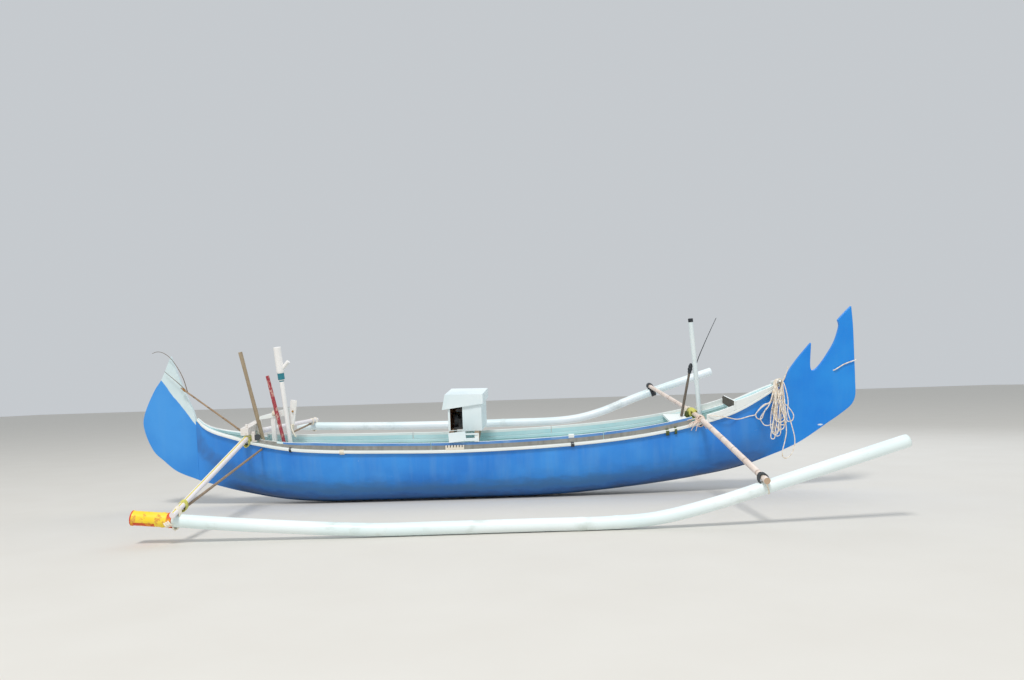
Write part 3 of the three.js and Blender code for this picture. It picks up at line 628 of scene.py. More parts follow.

# %% [markdown]
# The coats go on one over the other: the faded base, the streaks, the purer blue of the two ends,
# painted shade low on the side, the band that dragging has scuffed, painted shade at the keel and in
# the hollow by the stern blade, and last the scrapes and chips, which cut through all the rest.
# Each coat is a mask and a colour. The two ends are a purer blue, like the blades that stand there.

# %% Hull paint
BOW_BLUE, STERN_BLUE = "#0A86E4", "#358FE4"
# middle and size of each spot of painted shade in the hollow where the side swells out of the stern blade
CREASE_SHADE_SPOTS = [((-3.320, 0.0, 0.770), (0.060, 0.4, 0.170)), ((-3.285, 0.0, 0.670), (0.080, 0.4, 0.130)),
          ((-3.225, 0.0, 0.590), (0.100, 0.4, 0.110)), ((-3.140, 0.0, 0.525), (0.130, 0.4, 0.095)),
          ((-3.030, 0.0, 0.475), (0.160, 0.4, 0.080))]


def belly_coats(tree, place, rubs):
    """Hull-only coats: purer blue ends, a scuffed band, painted shade low on the side and in a hollow."""
    share = add_node(tree, "ShaderNodeAttribute", {}, attribute_name="height_share").outputs["Fac"]
    wave = add_node(tree, "ShaderNodeMath", {0: rubs, 1: 0.34, 2: share},
                    operation="MULTIPLY_ADD").outputs[0]
    along_x = add_node(tree, "ShaderNodeSeparateXYZ", {0: place}).outputs["X"]
    stern = add_node(tree, "ShaderNodeMapRange", {"Value": along_x, "From Min": -2.85, "From Max": -3.30})
    bow = add_node(tree, "ShaderNodeMapRange", {"Value": along_x, "From Min": 2.70, "From Max": 3.18})
    ends = add_node(tree, "ShaderNodeMath", {0: stern.outputs[0], 1: bow.outputs[0]}, operation="ADD")
    middle = add_node(tree, "ShaderNodeMath", {0: 1.0, 1: ends.outputs[0]}, operation="SUBTRACT")
    # painted shade: the side darkens from about the middle of its height down, where the belly turns from
    # the light
    shade = add_node(tree, "ShaderNodeMapRange", {"Value": wave, "From Min": 0.80, "From Max": 0.34,
                     "To Max": 0.88})
    up = add_node(tree, "ShaderNodeMapRange", {"Value": wave, "From Min": 0.34, "From Max": 0.46})
    down = add_node(tree, "ShaderNodeMapRange", {"Value": wave, "From Min": 0.66, "From Max": 0.50})
    band = add_node(tree, "ShaderNodeMath", {0: up.outputs[0], 1: down.outputs[0]}, operation="MULTIPLY")
    fore = add_node(tree, "ShaderNodeMapRange", {"Value": along_x, "From Min": 2.3, "From Max": 0.9,
                    "To Min": 0.12, "To Max": 0.62})
    dragged = add_node(tree, "ShaderNodeMath", {0: band.outputs[0], 1: fore.outputs[0]},
                       operation="MULTIPLY")
    # painted shade: deep navy near the keel, under the turn of the belly
    dark = add_node(tree, "ShaderNodeMapRange", {"Value": wave, "From Min": 0.40, "From Max": 0.20,
                    "To Max": 0.85})
    coats = [(stern.outputs[0], STERN_BLUE), (bow.outputs[0], BOW_BLUE)]
    for mask, colour in ((shade, "#1D62AE"), (dragged, "#3F7099"), (dark, "#1B3550")):
        kept = add_node(tree, "ShaderNodeMath", {0: mask.outputs[0], 1: middle.outputs[0]},
                        operation="MULTIPLY")
        coats.append((kept.outputs[0], colour))
    # painted shade: darker blue in the concave hollow where the side swells out of the stern blade
    for centre, size in CREASE_SHADE_SPOTS:
        hollow = spot(tree, place, centre, size, 0.9, 12.0)
        crease_shade = add_node(tree, "ShaderNodeMath", {0: hollow, 1: 0.30}, operation="MULTIPLY")
        coats.append((crease_shade.outputs[0], "#3A5F96"))
    return coats


def hull_paint(name, base, faded, streak, streaked, belly):
    """Faded enamel with streaks and chips, and where belly is true a scuffed band and painted shade."""
    material, tree, shader, place = new_finish(name, 0.36)
    clouds = add_node(tree, "ShaderNodeTexNoise", {"Vector": place, "Scale": 1.5, "Detail": 5.0})
    fade = add_node(tree, "ShaderNodeMapRange",
                    {"Value": clouds.outputs["Fac"], "From Min": 0.38, "From Max": 0.66})
    runs = add_node(tree, "ShaderNodeMapping", {"Vector": place, "Scale": (7, 7, 0.7)})
    streaks = add_node(tree, "ShaderNodeTexNoise",
                       {"Vector": runs.outputs[0], "Scale": 1.3, "Detail": 7.0, "Roughness": 0.6})
    much = add_node(tree, "ShaderNodeMapRange", {"Value": streaks.outputs["Fac"],
                    "From Min": 0.46, "From Max": 0.74, "To Max": streaked})
    flat = add_node(tree, "ShaderNodeMapping", {"Vector": place, "Scale": (1.0, 1.0, 2.6)})
    rubs = add_node(tree, "ShaderNodeTexNoise", {"Vector": flat.outputs[0], "Scale": 4.0, "Detail": 9.0,
                    "Roughness": 0.68}).outputs["Fac"]
    scraped = add_node(tree, "ShaderNodeMapRange", {"Value": rubs, "From Min": 0.66, "From Max": 0.8,
                       "To Max": 0.5})
    chips = add_node(tree, "ShaderNodeTexNoise", {"Vector": place, "Scale": 1000 / 38, "Detail": 7.0,
                     "Roughness": 0.72})
    chipped = add_node(tree, "ShaderNodeMapRange", {"Value": chips.outputs["Fac"],
                       "From Min": 0.715, "From Max": 0.74})
    coats = [(fade.outputs[0], faded), (much.outputs[0], streak)]
    coats += belly_coats(tree, place, rubs) if belly else []
    coats += [(scraped.outputs[0], "#8FB2CE"), (chipped.outputs[0], "#C9DAE4")]
    tree.links.new(layered(tree, base, coats), shader.inputs["Base Color"])
    dull = add_node(tree, "ShaderNodeMapRange", {"Value": rubs, "From Min": 0.35, "From Max": 0.7,
                    "To Min": 0.28, "To Max": 0.55})
    tree.links.new(dull.outputs[0], shader.inputs["Roughness"])
    ripple = add_node(tree, "ShaderNodeTexNoise", {"Vector": place, "Scale": 4.0, "Detail": 3.0})
    bump = add_node(tree, "ShaderNodeBump", {"Height": ripple.outputs["Fac"], "Strength": 0.25,
                    "Distance": 0.012})
    tree.links.new(bump.outputs[0], shader.inputs["Normal"])
    return material


blue = hull_paint("blue_enamel_on_glass_fibre", "#2480DA", "#3A98EA", "#6FA4D6", 0.3, True)
blade_blue = hull_paint("bright_blue_enamel_on_board", "#0084E4", "#1E96EC", "#5AA6DE", 0.12, False)
stern_blue = hull_paint("sky_blue_enamel_on_board", "#2E8BE0", "#429DEC", "#6FAEE0", 0.12, False)
inner_paint = worn_coat("pale_green_enamel_on_glass_fibre", "#BFE4E4", "#D2EDEB", "#8BA3A2",
                        roughness=0.5, bare=0.66, patch=90, grime="#8DA09A", grime_from=0.64)


def outside_or_inside(polygon):
    """Blue outside. The inside and the flat top of the two solid ends are pale."""
    on_top = polygon.normal.z > 0.6 and polygon.center.z > sheer(polygon.center.x) - 0.03
    return 1 if on_top or min(polygon.vertices) >= outer_count else 0


hull = piece("hull_skin", verts, faces, [blue, inner_paint], "hull_shell",
             finish_of=outside_or_inside, sharp=50)
height_share = hull.data.attributes.new("height_share", "FLOAT", "POINT")
for k, vertex in enumerate(hull.data.vertices):
    x, z = vertex.co.x, vertex.co.z
    height_share.data[k].value = max(0.0, (z - keel(x)) / (sheer(x) - keel(x)))
print("hull paint:", len(blue.node_tree.nodes), "nodes")

# %% [markdown]
# ## Blades
#
# A thin plate stands on each end of the hull: a forked one at the bow, a leaf at the stern. Both
# are cut from board and glassed over, so their edges are rounded. The outline is a handful of
# points measured on the boat; a smooth curve joins them, except at the corners, which stay sharp.

# %% Blade outlines
BOW_BLADE = [
    [(3.200, 0.422), (3.400, 0.516), (3.725, 0.731), (3.845, 0.812), (3.970, 0.915), (4.010, 1.000),
     (4.010, 1.204), (4.001, 1.407), (3.982, 1.801), (3.962, 2.010)],
    [(3.962, 2.010), (3.890, 1.938), (3.815, 1.858)],
    [(3.815, 1.858), (3.832, 1.806), (3.814, 1.716), (3.775, 1.608), (3.706, 1.490), (3.645, 1.400),
     (3.582, 1.329), (3.537, 1.307), (3.518, 1.331), (3.521, 1.618)],
    [(3.521, 1.618), (3.382, 1.456), (3.289, 1.329), (3.235, 1.222), (3.200, 1.166)],
]
STERN_BLADE = [
    [(-3.330, 0.965), (-3.345, 1.046), (-3.386, 1.159), (-3.450, 1.334), (-3.562, 1.690)],
    [(-3.562, 1.690), (-3.684, 1.433), (-3.749, 1.344), (-3.830, 1.200), (-3.890, 1.065),
     (-3.915, 0.971), (-3.913, 0.899), (-3.880, 0.762), (-3.810, 0.613), (-3.720, 0.523),
     (-3.580, 0.398), (-3.330, 0.285)],
]


def outline_of(runs, step=0.03):
    """A closed outline from runs of points, smooth in each run and sharp where two meet."""
    outline = []
    for run in runs:
        route = smooth_route([(x, 0.0, z) for x, z in run], step)
        outline += [(p.x, p.z) for p in route[:-1]]
    outline.append(runs[-1][-1])
    return outline


def prism(near, far):
    """The solid between two like outlines: both of its faces and the edge between them."""
    count = len(near)
    faces = [tuple(range(count)), tuple(reversed(range(count, 2 * count)))]
    faces += [(k, (k + 1) % count, count + (k + 1) % count, count + k) for k in range(count)]
    return near + far, faces


def plate(outline, y0, y1):
    """A flat plate between two values of y, from its outline of x and z."""
    return prism([Vector((x, y0, z)) for x, z in outline], [Vector((x, y1, z)) for x, z in outline])


def chipped_paint():
    """The blade's blue with a white chip on its lower edge."""
    material = blade_blue.copy()
    material.name = "bright_blue_enamel_with_chip"
    tree = material.node_tree
    shader = tree.nodes["Principled BSDF"]
    coat = shader.inputs["Base Color"].links[0].from_socket
    place = tree.nodes.new("ShaderNodeTexCoord").outputs["Object"]
    chip = spot(tree, place, (3.622, 0.0, 0.700), (0.035, 0.2, 0.012), 0.8, 60.0)
    tree.links.new(layered(tree, coat, [(chip, "#E4EDF0")]), shader.inputs["Base Color"])
    return material


chipped_blue = chipped_paint()
bow_outline = outline_of(BOW_BLADE)
verts, faces = plate(bow_outline, -BLADE_HALF, BLADE_HALF)
piece("bow_blade", verts, faces, chipped_blue, "bow_fin", bevel=0.005, parts=3)
print("bow blade outline", len(bow_outline), "points")

# %% [markdown]
# A thin rope is looped once round the bow blade, and a short end of line stands up at the stem. Both
# are of the same rope as the hank and share its finish.

# %% Loop and tied line on the bow blade
LOOP_NEAR = [(3.772, -0.030, 1.308), (3.880, -0.033, 1.370), (4.003, -0.030, 1.412)]
loop_pins = LOOP_NEAR + [(4.024, 0.0, 1.414)] + [(x, -y, z) for x, y, z in reversed(LOOP_NEAR)]
loop_route = smooth_route([(3.762, 0.0, 1.304)] + loop_pins + [(3.762, 0.0, 1.304)], 0.008)
verts, faces = tube_mesh(loop_route, 0.0065, sides=10, strands=3, lay_length=0.05)
piece("bow_blade_loop", verts, faces, rope, sharp=80)
tuft_route = smooth_route([(3.197, -0.027, 1.181), (3.241, -0.027, 1.280), (3.263, -0.027, 1.358)], 0.006)
verts, faces = tube_mesh(tuft_route, lambda share: 0.0045 + 0.004 * math.exp(-((share - 0.3) / 0.14) ** 2),
                         sides=9, domed=True)
piece("stem_line", verts, faces, rope, sharp=80)
print("loop round the bow blade", round(route_length(loop_route), 2), "m")

# %% [markdown]
# The top of the stern blade is painted a pale greenish white above a slanting line. It is the same
# plate with a second coat, so the paint is divided in the material: the line is a plane across the
# mesh's own X and Z, with a slightly wavering edge as a brush leaves it.

# %% Stern blade with its pale top
BAND_LOW, BAND_HIGH = (-3.336, 0.919), (-3.684, 1.433)


def banded_paint():
    """The hull's blue with a pale coat on one side of a line."""
    material = stern_blue.copy()
    material.name = "sky_blue_enamel_with_pale_band"
    tree = material.node_tree
    shader = tree.nodes["Principled BSDF"]
    lower = shader.inputs["Base Color"].links[0].from_socket
    place = tree.nodes.new("ShaderNodeTexCoord").outputs["Object"]
    waver = add_node(tree, "ShaderNodeTexNoise", {"Vector": place, "Scale": 9.0, "Detail": 3.0})
    run_x, run_z = BAND_HIGH[0] - BAND_LOW[0], BAND_HIGH[1] - BAND_LOW[1]
    size = math.hypot(run_x, run_z)
    normal = (run_z / size, 0.0, -run_x / size)
    offset = BAND_LOW[0] * normal[0] + BAND_LOW[1] * normal[2]
    across = add_node(tree, "ShaderNodeVectorMath", {0: place, 1: normal}, operation="DOT_PRODUCT")
    beyond = add_node(tree, "ShaderNodeMath", {0: across.outputs["Value"], 1: -offset}, operation="ADD")
    bent = add_node(tree, "ShaderNodeMath", {0: waver.outputs["Fac"], 1: 0.03, 2: beyond.outputs[0]},
                    operation="MULTIPLY_ADD")
    chosen = add_node(tree, "ShaderNodeMapRange", {"Value": bent.outputs[0],
                      "From Min": 0.012, "From Max": 0.018})
    soil = add_node(tree, "ShaderNodeTexNoise", {"Vector": place, "Scale": 7.0, "Detail": 6.0})
    pale = layered(tree, "#E4F3F5", [(soil.outputs["Fac"], "#CBE0E4")])
    tree.links.new(layered(tree, lower, [(chosen.outputs[0], pale)]), shader.inputs["Base Color"])
    return material


banded = banded_paint()
verts, faces = plate(outline_of(STERN_BLADE), -BLADE_HALF, BLADE_HALF)
piece("stern_blade", verts, faces, banded, "stern_fin", bevel=0.005, parts=3)
print("pale band runs from", BAND_LOW, "to", BAND_HIGH)

# %% [markdown]
# ## Rails and washboards
#
# A cap rail of painted wood covers the top of the skin and stands out 30 mm over the side. Its lower
# face slopes up a little to the outer edge, so a dark line of shadow runs under it. Inboard of it a
# board stands on edge to keep spray out. All the planks that bend with the sheer are made one way:
# the corners of the plank's section at each place along the boat, joined from place to place.

# %% Planks that follow the boat
def plank(spots, side, corners):
    """Closed plank through rings of corners, each a distance outward and a height."""
    rings = [corners(x) for x in spots]
    wide = len(rings[0])
    verts = [Vector((x, side * out, up)) for x, ring in zip(spots, rings) for out, up in ring]
    faces = [tuple(reversed(range(wide))), tuple(range(len(verts) - wide, len(verts)))]
    for i in range(len(spots) - 1):
        for k in range(wide):
            a, b = wide * i + k, wide * i + (k + 1) % wide
            faces.append((a, b, b + wide, a + wide))
    return verts, faces


def join_parts(parts):
    """One list of points and faces from several."""
    verts, faces = [], []
    for more_verts, more_faces in parts:
        start = len(verts)
        verts += list(more_verts)
        faces += [tuple(start + k for k in face) for face in more_faces]
    return verts, faces


RAIL_NARROWS, RAIL_SLOPE = 0.22, 0.009


def rail_section(x):
    """Four corners of the cap rail, which narrows to nothing outside as it meets the stern blade."""
    widen = min(max((x - TAIL) / RAIL_NARROWS, 0), 1)
    inner, outer = max(edge(x) - RAIL_IN, 0.006), edge(x) + RAIL_OUT * widen * (2 - widen)
    low, high = sheer(x) + GAP, rail_top(x)
    return [(inner, low), (outer, low + RAIL_SLOPE), (outer, high), (inner, high)]


def faces_inboard(polygon):
    return polygon.normal.y * polygon.center.y < 0 and abs(polygon.normal.y) > 0.5


inner_cyan = worn_coat("pale_cyan_enamel_on_board", "#C6E8EC", "#D9F1F3", "#9FB4B5",
                       roughness=0.45, bare=0.70, patch=60, stretch=(0.3, 1, 1))
rail_paint = worn_coat("chalked_white_enamel_on_wood", "#F6F9F6", "#E9EFEC", "#BDBBAE",
                       roughness=0.5, bare=0.70, patch=55, stretch=(0.35, 1, 1))
for name, side in (("port", 1), ("starboard", -1)):
    verts, faces = plank(steps(*RAIL_ENDS, 0.06), side, rail_section)
    piece(f"cap_rail_{name}", verts, faces, [rail_paint, inner_cyan], f"rail_{name}",
          bevel=0.006, parts=3, sharp=60, finish_of=lambda polygon: 1 if faces_inboard(polygon) else 0)
print("rail top amidships", round(rail_top(0), 3), "m over the keel")

# %% [markdown]
# The washboards are painted three ways: a blue strip along the upper edge of the outside, bare grey
# wood below it, where the sun has taken the paint off, and a pale cyan inside with a white top
# edge. They come in lengths, with an open joint between them. Near the stern of the near side the
# strip is pale teal for a hand's breadth, and behind that the wood is bare up to the top.

# %% Washboards
grey_board = worn_coat("weathered_grey_pine", "#8E8E89", "#A09F99", "#7B7A75", roughness=0.8,
                       bare=0.60, patch=38, stretch=(0.12, 1, 1), grime="#757670", soft=0.12,
                       relief=0.5)
strip_blue = worn_coat("blue_enamel_on_board", "#4C84C8", "#6A9CD4", "#9DB9CF", roughness=0.45,
                       bare=0.64, patch=40, stretch=(0.3, 1, 1))
SEAMS = {"port": [-2.600, -0.956, 0.640, 2.150], "starboard": [-2.600, -0.690, 1.180, 2.150]}


BARE_AFT_OF, TEAL_AFT_OF = -2.42, -2.28
STRIP_OUTSIDE, STRIP_INSIDE = 0.62, 0.63


def washboard_section(x):
    """Six corners: two of them part the paints on the outer and the inner face."""
    inner, outer, low, high = edge(x) - 0.022, edge(x) - 0.004, rail_top(x) + GAP, wash_top(x)
    return [(inner, low), (outer, low), (outer, low + STRIP_OUTSIDE * (high - low)), (outer, high),
            (inner, high), (inner, low + STRIP_INSIDE * (high - low))]


def washboard_finish(polygon):
    """Grey and blue outside, white on top and along the top of the inner face, cyan inside."""
    if polygon.normal.z > 0.7:
        return 3
    x, y, z = polygon.center
    upper = z > rail_top(x) + 0.6 * (wash_top(x) - rail_top(x))
    if polygon.normal.y * y < 0:
        return 3 if upper else 2
    if y < 0 and x < TEAL_AFT_OF:
        return 2 if upper and x > BARE_AFT_OF else 0
    return 1 if upper else 0


for name, side in (("port", 1), ("starboard", -1)):
    lengths = [plank(steps(a + 0.003, b - 0.003, 0.07), side, washboard_section)
               for a, b in zip(SEAMS[name], SEAMS[name][1:])]
    verts, faces = join_parts(lengths)
    piece(f"wash_board_{name}", verts, faces, [grey_board, strip_blue, inner_cyan, rail_paint],
          f"washboard_{name}", finish_of=washboard_finish, bevel=0.003, sharp=60)
print("washboard joints at", SEAMS)

# %% [markdown]
# A bent strip of white sheet is clipped over the near washboard. It is the outline of the bend,
# pushed along the boat.

# %% Clip on the near washboard
CLIP_X, CLIP_HALF = 0.830, 0.030
clip_y, clip_z = -(edge(CLIP_X) - 0.013), wash_top(CLIP_X)
# outline of the bent sheet, as steps outward and up from the middle of the board's top edge
CLIP = [(0.012, -0.022), (0.012, 0.008), (0.006, 0.016), (-0.006, 0.016), (-0.012, 0.008), (-0.012, -0.022),
        (-0.0095, -0.022), (-0.0095, 0.0005), (0.0095, 0.0005), (0.0095, -0.022)]
clip_ends = [[Vector((x, clip_y + y, clip_z + z)) for y, z in CLIP]
             for x in (CLIP_X - CLIP_HALF, CLIP_X + CLIP_HALF)]
verts, faces = prism(*clip_ends)
piece("washboard_clip", verts, faces, rail_paint, bevel=0.001)
print("clip at x", CLIP_X, "m,", 2 * CLIP_HALF, "m long")

# %% [markdown]
# Planks on top of the rail raise the sides at the bow: a low coaming on both sides and, on the near
# side only, a bulwark that gets lower towards the stem.

# %% Planks at the bow
def side_plank(height):
    """Section of a plank that stands on the rail, its top as far over the rail as height says."""
    def section(x):
        inner, outer, low = edge(x) + 0.004, edge(x) + 0.028, rail_top(x) + GAP
        high = rail_top(x) + height(x)
        return [(inner, low), (outer, low), (outer, high), (inner, high)]
    return section


for name, side in (("port", 1), ("starboard", -1)):
    verts, faces = plank(steps(2.302, 2.604, 0.06), side, side_plank(lambda x: 0.062))
    piece(f"coaming_plank_{name}", verts, faces, rail_paint, f"bow_coaming_{name}",
          bevel=0.004, sharp=60)
verts, faces = plank(steps(*BULWARK_ENDS, 0.06), -1,
                     side_plank(lambda x: lerp_between(x, BULWARK_ENDS, BULWARK_HEIGHTS)))
piece("bow_plank_starboard", verts, faces, rail_paint, "bow_bulwark_starboard",
      bevel=0.005, sharp=60)
print("bulwark", BULWARK_HEIGHTS, "m high, from x", BULWARK_ENDS)

# %% [markdown]
# ## Boards inside the boat
#
# Thwarts, bottom boards, foredeck and coaming are plain sawn boards. The solids that hold their
# places already have the right size, so each board is a copy of its solid with two changes that a
# real board has: its long edges are rounded, by a bevel, and it has a worn coat with grain.

# %% Boards copied from their solids
def board(name, node, finishes, rounding=0.003, body="boat", finish_of=None):
    """A piece that is a copy of a CAD node's mesh, with softer edges."""
    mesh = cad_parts[node].data.copy()
    mesh.name = name
    mesh.materials.clear()
    for finish in finishes if isinstance(finishes, (list, tuple)) else [finishes]:
        mesh.materials.append(finish)
    return settle(name, mesh, node, upright=False, body=body, bevel=rounding,
                  finish_of=finish_of, merge=True)


pale_thwart = worn_coat("pale_blue_green_enamel_on_pine", "#AFD6D6", "#C6E4E1", "#8F8C7E",
                        roughness=0.55, bare=0.64, patch=45, stretch=(1, 0.2, 1))
pale_floor = worn_coat("pale_blue_green_enamel_on_boards", "#A3C9C8", "#BBD8D4", "#7D7A6E",
                       roughness=0.65, bare=0.60, patch=55, stretch=(0.2, 1, 1))
bare_wood = worn_coat("weathered_bare_hardwood", "#8A7560", "#A28F78", "#5E4F40", roughness=0.85,
                      bare=0.56, patch=24, stretch=(0.12, 1, 1), soft=0.15, relief=0.7)
# Painted shade: a brown grey coat, with wear over it, for the aft face of the coaming end board, which faces
# away from the light.
shaded_end_face = worn_coat("brown_grey_painted_shade_on_board", "#5F5B54", "#716C62", "#464038", roughness=0.85,
                         bare=0.55, patch=40, soft=0.15)
for node in ("thwart_stern", "thwart_aft", "thwart_mid"):
    board(node + "_board", node, pale_thwart)
board("thwart_mast_board", "thwart_mast", rail_paint, 0.004)
for node in ("bottom_board_aft", "bottom_board_fore"):
    board(node + "s", node, pale_floor)
board("foredeck_board", "foredeck", rail_paint)
# The end board's aft face gets the painted shade; its other faces are white.
board("coaming_end_board", "bow_coaming_end", [rail_paint, shaded_end_face], 0.003,
      finish_of=lambda polygon: 1 if polygon.normal.x < -0.7 else 0)
board("mast_step_block", "mast_step", bare_wood, 0.004)
for node in ("engine_bearer_aft", "engine_bearer_fore"):
    board(node + "_beam", node, [bare_wood, rail_paint], 0.004,
          finish_of=lambda polygon: 1 if abs(polygon.normal.y) > 0.7 else 0)
print("meshes so far:", len(bpy.data.meshes))

# %% [markdown]
# ## Floats
#
# Each float is a length of 110 mm pressure pipe, bent up at the bow over a fire and closed at the
# ends with a rounded plug. Pipe comes in lengths, so there are sockets where two are joined, a
# little thicker than the pipe. The tube's radius is a function of the share of its length, which
# puts the sockets in without a second mesh. The plastic is satin and faintly green-white, with
# stains that run round it rather than along.

# %% Pipe finish
def pipe_finish(name, base, pale, stain):
    """Rigid vinyl pipe: satin, with soft yellowish stains and fine scratches along it."""
    rough = 0.32
    material, tree, shader, place = new_finish(name, rough, 1.53)
    clouds = add_node(tree, "ShaderNodeTexNoise", {"Vector": place, "Scale": 1.3, "Detail": 3.0})
    fade = add_node(tree, "ShaderNodeMapRange", {"Value": clouds.outputs["Fac"],
                    "From Min": 0.4, "From Max": 0.6})
    spots = add_node(tree, "ShaderNodeTexNoise", {"Vector": place, "Scale": 3.0, "Detail": 8.0,
                     "Roughness": 0.6})
    much = add_node(tree, "ShaderNodeMapRange", {"Value": spots.outputs["Fac"],
                    "From Min": 0.56, "From Max": 0.74, "To Max": 0.75})
    colour = layered(tree, base, [(fade.outputs[0], pale), (much.outputs[0], stain)])
    tree.links.new(colour, shader.inputs["Base Color"])
    scratched = add_node(tree, "ShaderNodeMapping", {"Vector": place, "Scale": (0.3, 12, 12)})
    lines = add_node(tree, "ShaderNodeTexNoise", {"Vector": scratched.outputs[0], "Scale": 9.0,
                     "Detail": 4.0})
    dull = add_node(tree, "ShaderNodeMapRange", {"Value": lines.outputs["Fac"],
                    "From Min": 0.35, "From Max": 0.7, "To Min": rough - 0.06, "To Max": rough + 0.22})
    tree.links.new(dull.outputs[0], shader.inputs["Roughness"])
    bump = add_node(tree, "ShaderNodeBump", {"Height": lines.outputs["Fac"], "Strength": 0.12,
                    "Distance": 0.001})
    tree.links.new(bump.outputs[0], shader.inputs["Normal"])
    return material


pipe = pipe_finish("satin_white_vinyl_pipe", "#E6F6F6", "#F2FBFB", "#C2CCC2")
print("pipe finish:", len(pipe.node_tree.nodes), "nodes")

# %% [markdown]
# A few heights along the boat give each float's middle line. The two lines differ, because each pipe
# was bent by hand.

# %% Floats
FLOAT_R, FLOAT_Y = 0.055, 2.260
FLOAT_STARBOARD = [(-2.700, 0.540), (-2.000, 0.474), (-1.000, 0.404), (-0.400, 0.400),
                   (0.400, 0.400), (1.000, 0.400), (1.400, 0.428), (1.910, 0.545),
                   (2.280, 0.657), (3.480, 1.021)]
FLOAT_PORT = [(-2.850, 0.428), (-1.410, 0.388), (0.0, 0.383), (1.000, 0.403), (1.410, 0.492),
              (1.980, 0.704), (2.990, 1.024)]


SOCKET_REACH, SOCKET_PROUD, SOCKET_SLOPE = 0.020, 0.003, 0.012


def socketed(joints, total):
    """Radius along a float: thicker over each socket, with a short slope on the bow side."""
    def size(share):
        run = share * total
        for joint in joints:
            past = run - joint - SOCKET_REACH
            if abs(run - joint) < SOCKET_REACH:
                return FLOAT_R + SOCKET_PROUD
            if 0 <= past < SOCKET_SLOPE:
                return FLOAT_R + SOCKET_PROUD * (1 - past / SOCKET_SLOPE)
        return FLOAT_R
    return size


float_routes = {}
for name, side, table, joints in (("starboard", -1, FLOAT_STARBOARD, (3.46, 3.76)),
                                  ("port", 1, FLOAT_PORT, (2.9, 4.62))):
    route = smooth_route([(x, side * FLOAT_Y, z) for x, z in table], 0.02)
    float_routes[name] = route
    verts, faces = tube_mesh(route, socketed(joints, route_length(route)), sides=40)
    piece(f"pipe_float_{name}", verts, faces, pipe, f"float_{name}", bevel=0.018,
          parts=4, sharp=50)
    print("float", name, round(route_length(route), 2), "m")

# %% [markdown]
# A painted sleeve closes the stern end of the near float: yellow over red, and the yellow has
# flaked off in patches, most along its underside. It laps over the float, where it ends in a red
# ring.

# %% Sleeve
def ends_of(node, near=0.004):
    """Middles of the two ends of a straight CAD pole, and its radius at each."""
    points = solid_points(node)
    middle = middle_of(points)
    axis = max(((p - middle) for p in points), key=lambda d: d.length).normalized()
    for _ in range(30):
        axis = sum(((p - middle) * (p - middle).dot(axis) for p in points), Vector()).normalized()
    spans = [(p - middle).dot(axis) for p in points]
    found = []
    for limit in (min(spans), max(spans)):
        ring = [p for p, s in zip(points, spans) if abs(s - limit) < near]
        centre = middle + axis * limit
        radius = max((p - middle - axis * (p - middle).dot(axis)).length for p in ring)
        found.append((centre, radius))
    return found


def standing_ends(node):
    """Foot and head of a CAD pole that stands, each with its radius."""
    return sorted(ends_of(node), key=lambda end: end[0].z)


def straight(start, end, step=0.03):
    count = max(2, round((end - start).length / step))
    return [start.lerp(end, k / count) for k in range(count + 1)]


flaked_yellow = worn_coat("yellow_enamel_flaking_off_red", "#FFDC2E", "#FFE760", "#D2481A",
                          roughness=0.4, bare=0.56, patch=60, soft=0.02, relief=0.8)
flaked_orange = worn_coat("red_enamel_under_flaked_yellow", "#D9481C", "#E4602A", "#F3C233",
                          roughness=0.5, bare=0.55, patch=45, soft=0.02, relief=0.8)
SLEEVE_SET_IN, SLEEVE_LAP, LAST_RING, RING_PROUD = 0.022, 0.062, 0.040, 0.0035
(sleeve_a, sleeve_radius), (sleeve_b, _) = sorted(ends_of("float_sleeve_starboard"),
                                                  key=lambda end: end[0].x)
sleeve_axis = (sleeve_b - sleeve_a).normalized()
sleeve_start, sleeve_stop = sleeve_a + sleeve_axis * SLEEVE_SET_IN, sleeve_b + sleeve_axis * SLEEVE_LAP
sleeve_length = (sleeve_stop - sleeve_start).length


def sleeve_size(share):
    """A little proud in three rings: at the open end, in the middle and where it laps the float."""
    run = share * sleeve_length
    ring = run < 0.014 or 0.245 < run < 0.265 or run > sleeve_length - LAST_RING
    return sleeve_radius + (RING_PROUD if ring else 0.0)


def sleeve_finish(polygon):
    """Red in the last ring, at the open end and on the underside near it."""
    run = (polygon.center - sleeve_start).dot(sleeve_axis)
    low = polygon.normal.z < -0.52 and run < 0.20
    return 1 if run > sleeve_length - LAST_RING or low or run < 0.010 else 0


verts, faces = tube_mesh(straight(sleeve_start, sleeve_stop, 0.006), sleeve_size, sides=40)
piece("float_sleeve", verts, faces, [flaked_yellow, flaked_orange],
      "float_sleeve_starboard", upright=False, sharp=45, finish_of=sleeve_finish)
print("sleeve", round(sleeve_length, 3), "m")

# %% [markdown]
# ## Bamboo
#
# Bamboo is a row of hollow joints. At each joint the culm swells by a few millimetres and carries a
# darker ring, with a pale waxy band beside it. The joints stand 300 to 400 mm apart in a culm this
# thick. The mesh gets the swelling, and each point of it also stores how near it is to a joint, so
# the material can paint the ring where the swelling really is.

# %% Bamboo
def ringed_tube(route, size_start, size_end, joints, swell, sides=24, domed=False):
    """A tube that tapers and swells at each joint."""
    total = route_length(route)

    def size(share):
        run = share * total
        near = max((math.exp(-((run - j) / 0.012) ** 2) for j in joints), default=0.0)
        return size_start + (size_end - size_start) * share + swell * near

    return tube_mesh(route, size, sides=sides, domed=domed)


def store_rings(made, route, joints, width=0.018):
    """Writes to each point of the mesh how near it is to a joint, from 0 to 1."""
    near_joint = made.data.attributes.new("near_joint", "FLOAT", "POINT")
    runs = [0.0]
    for a, b in zip(route, route[1:]):
        runs.append(runs[-1] + (b - a).length)
    sides = len(made.data.vertices) // len(route)
    for k in range(len(made.data.vertices)):
        run = runs[min(k // sides, len(runs) - 1)]
        near_joint.data[k].value = max((math.exp(-((run - j) / width) ** 2) for j in joints), default=0)


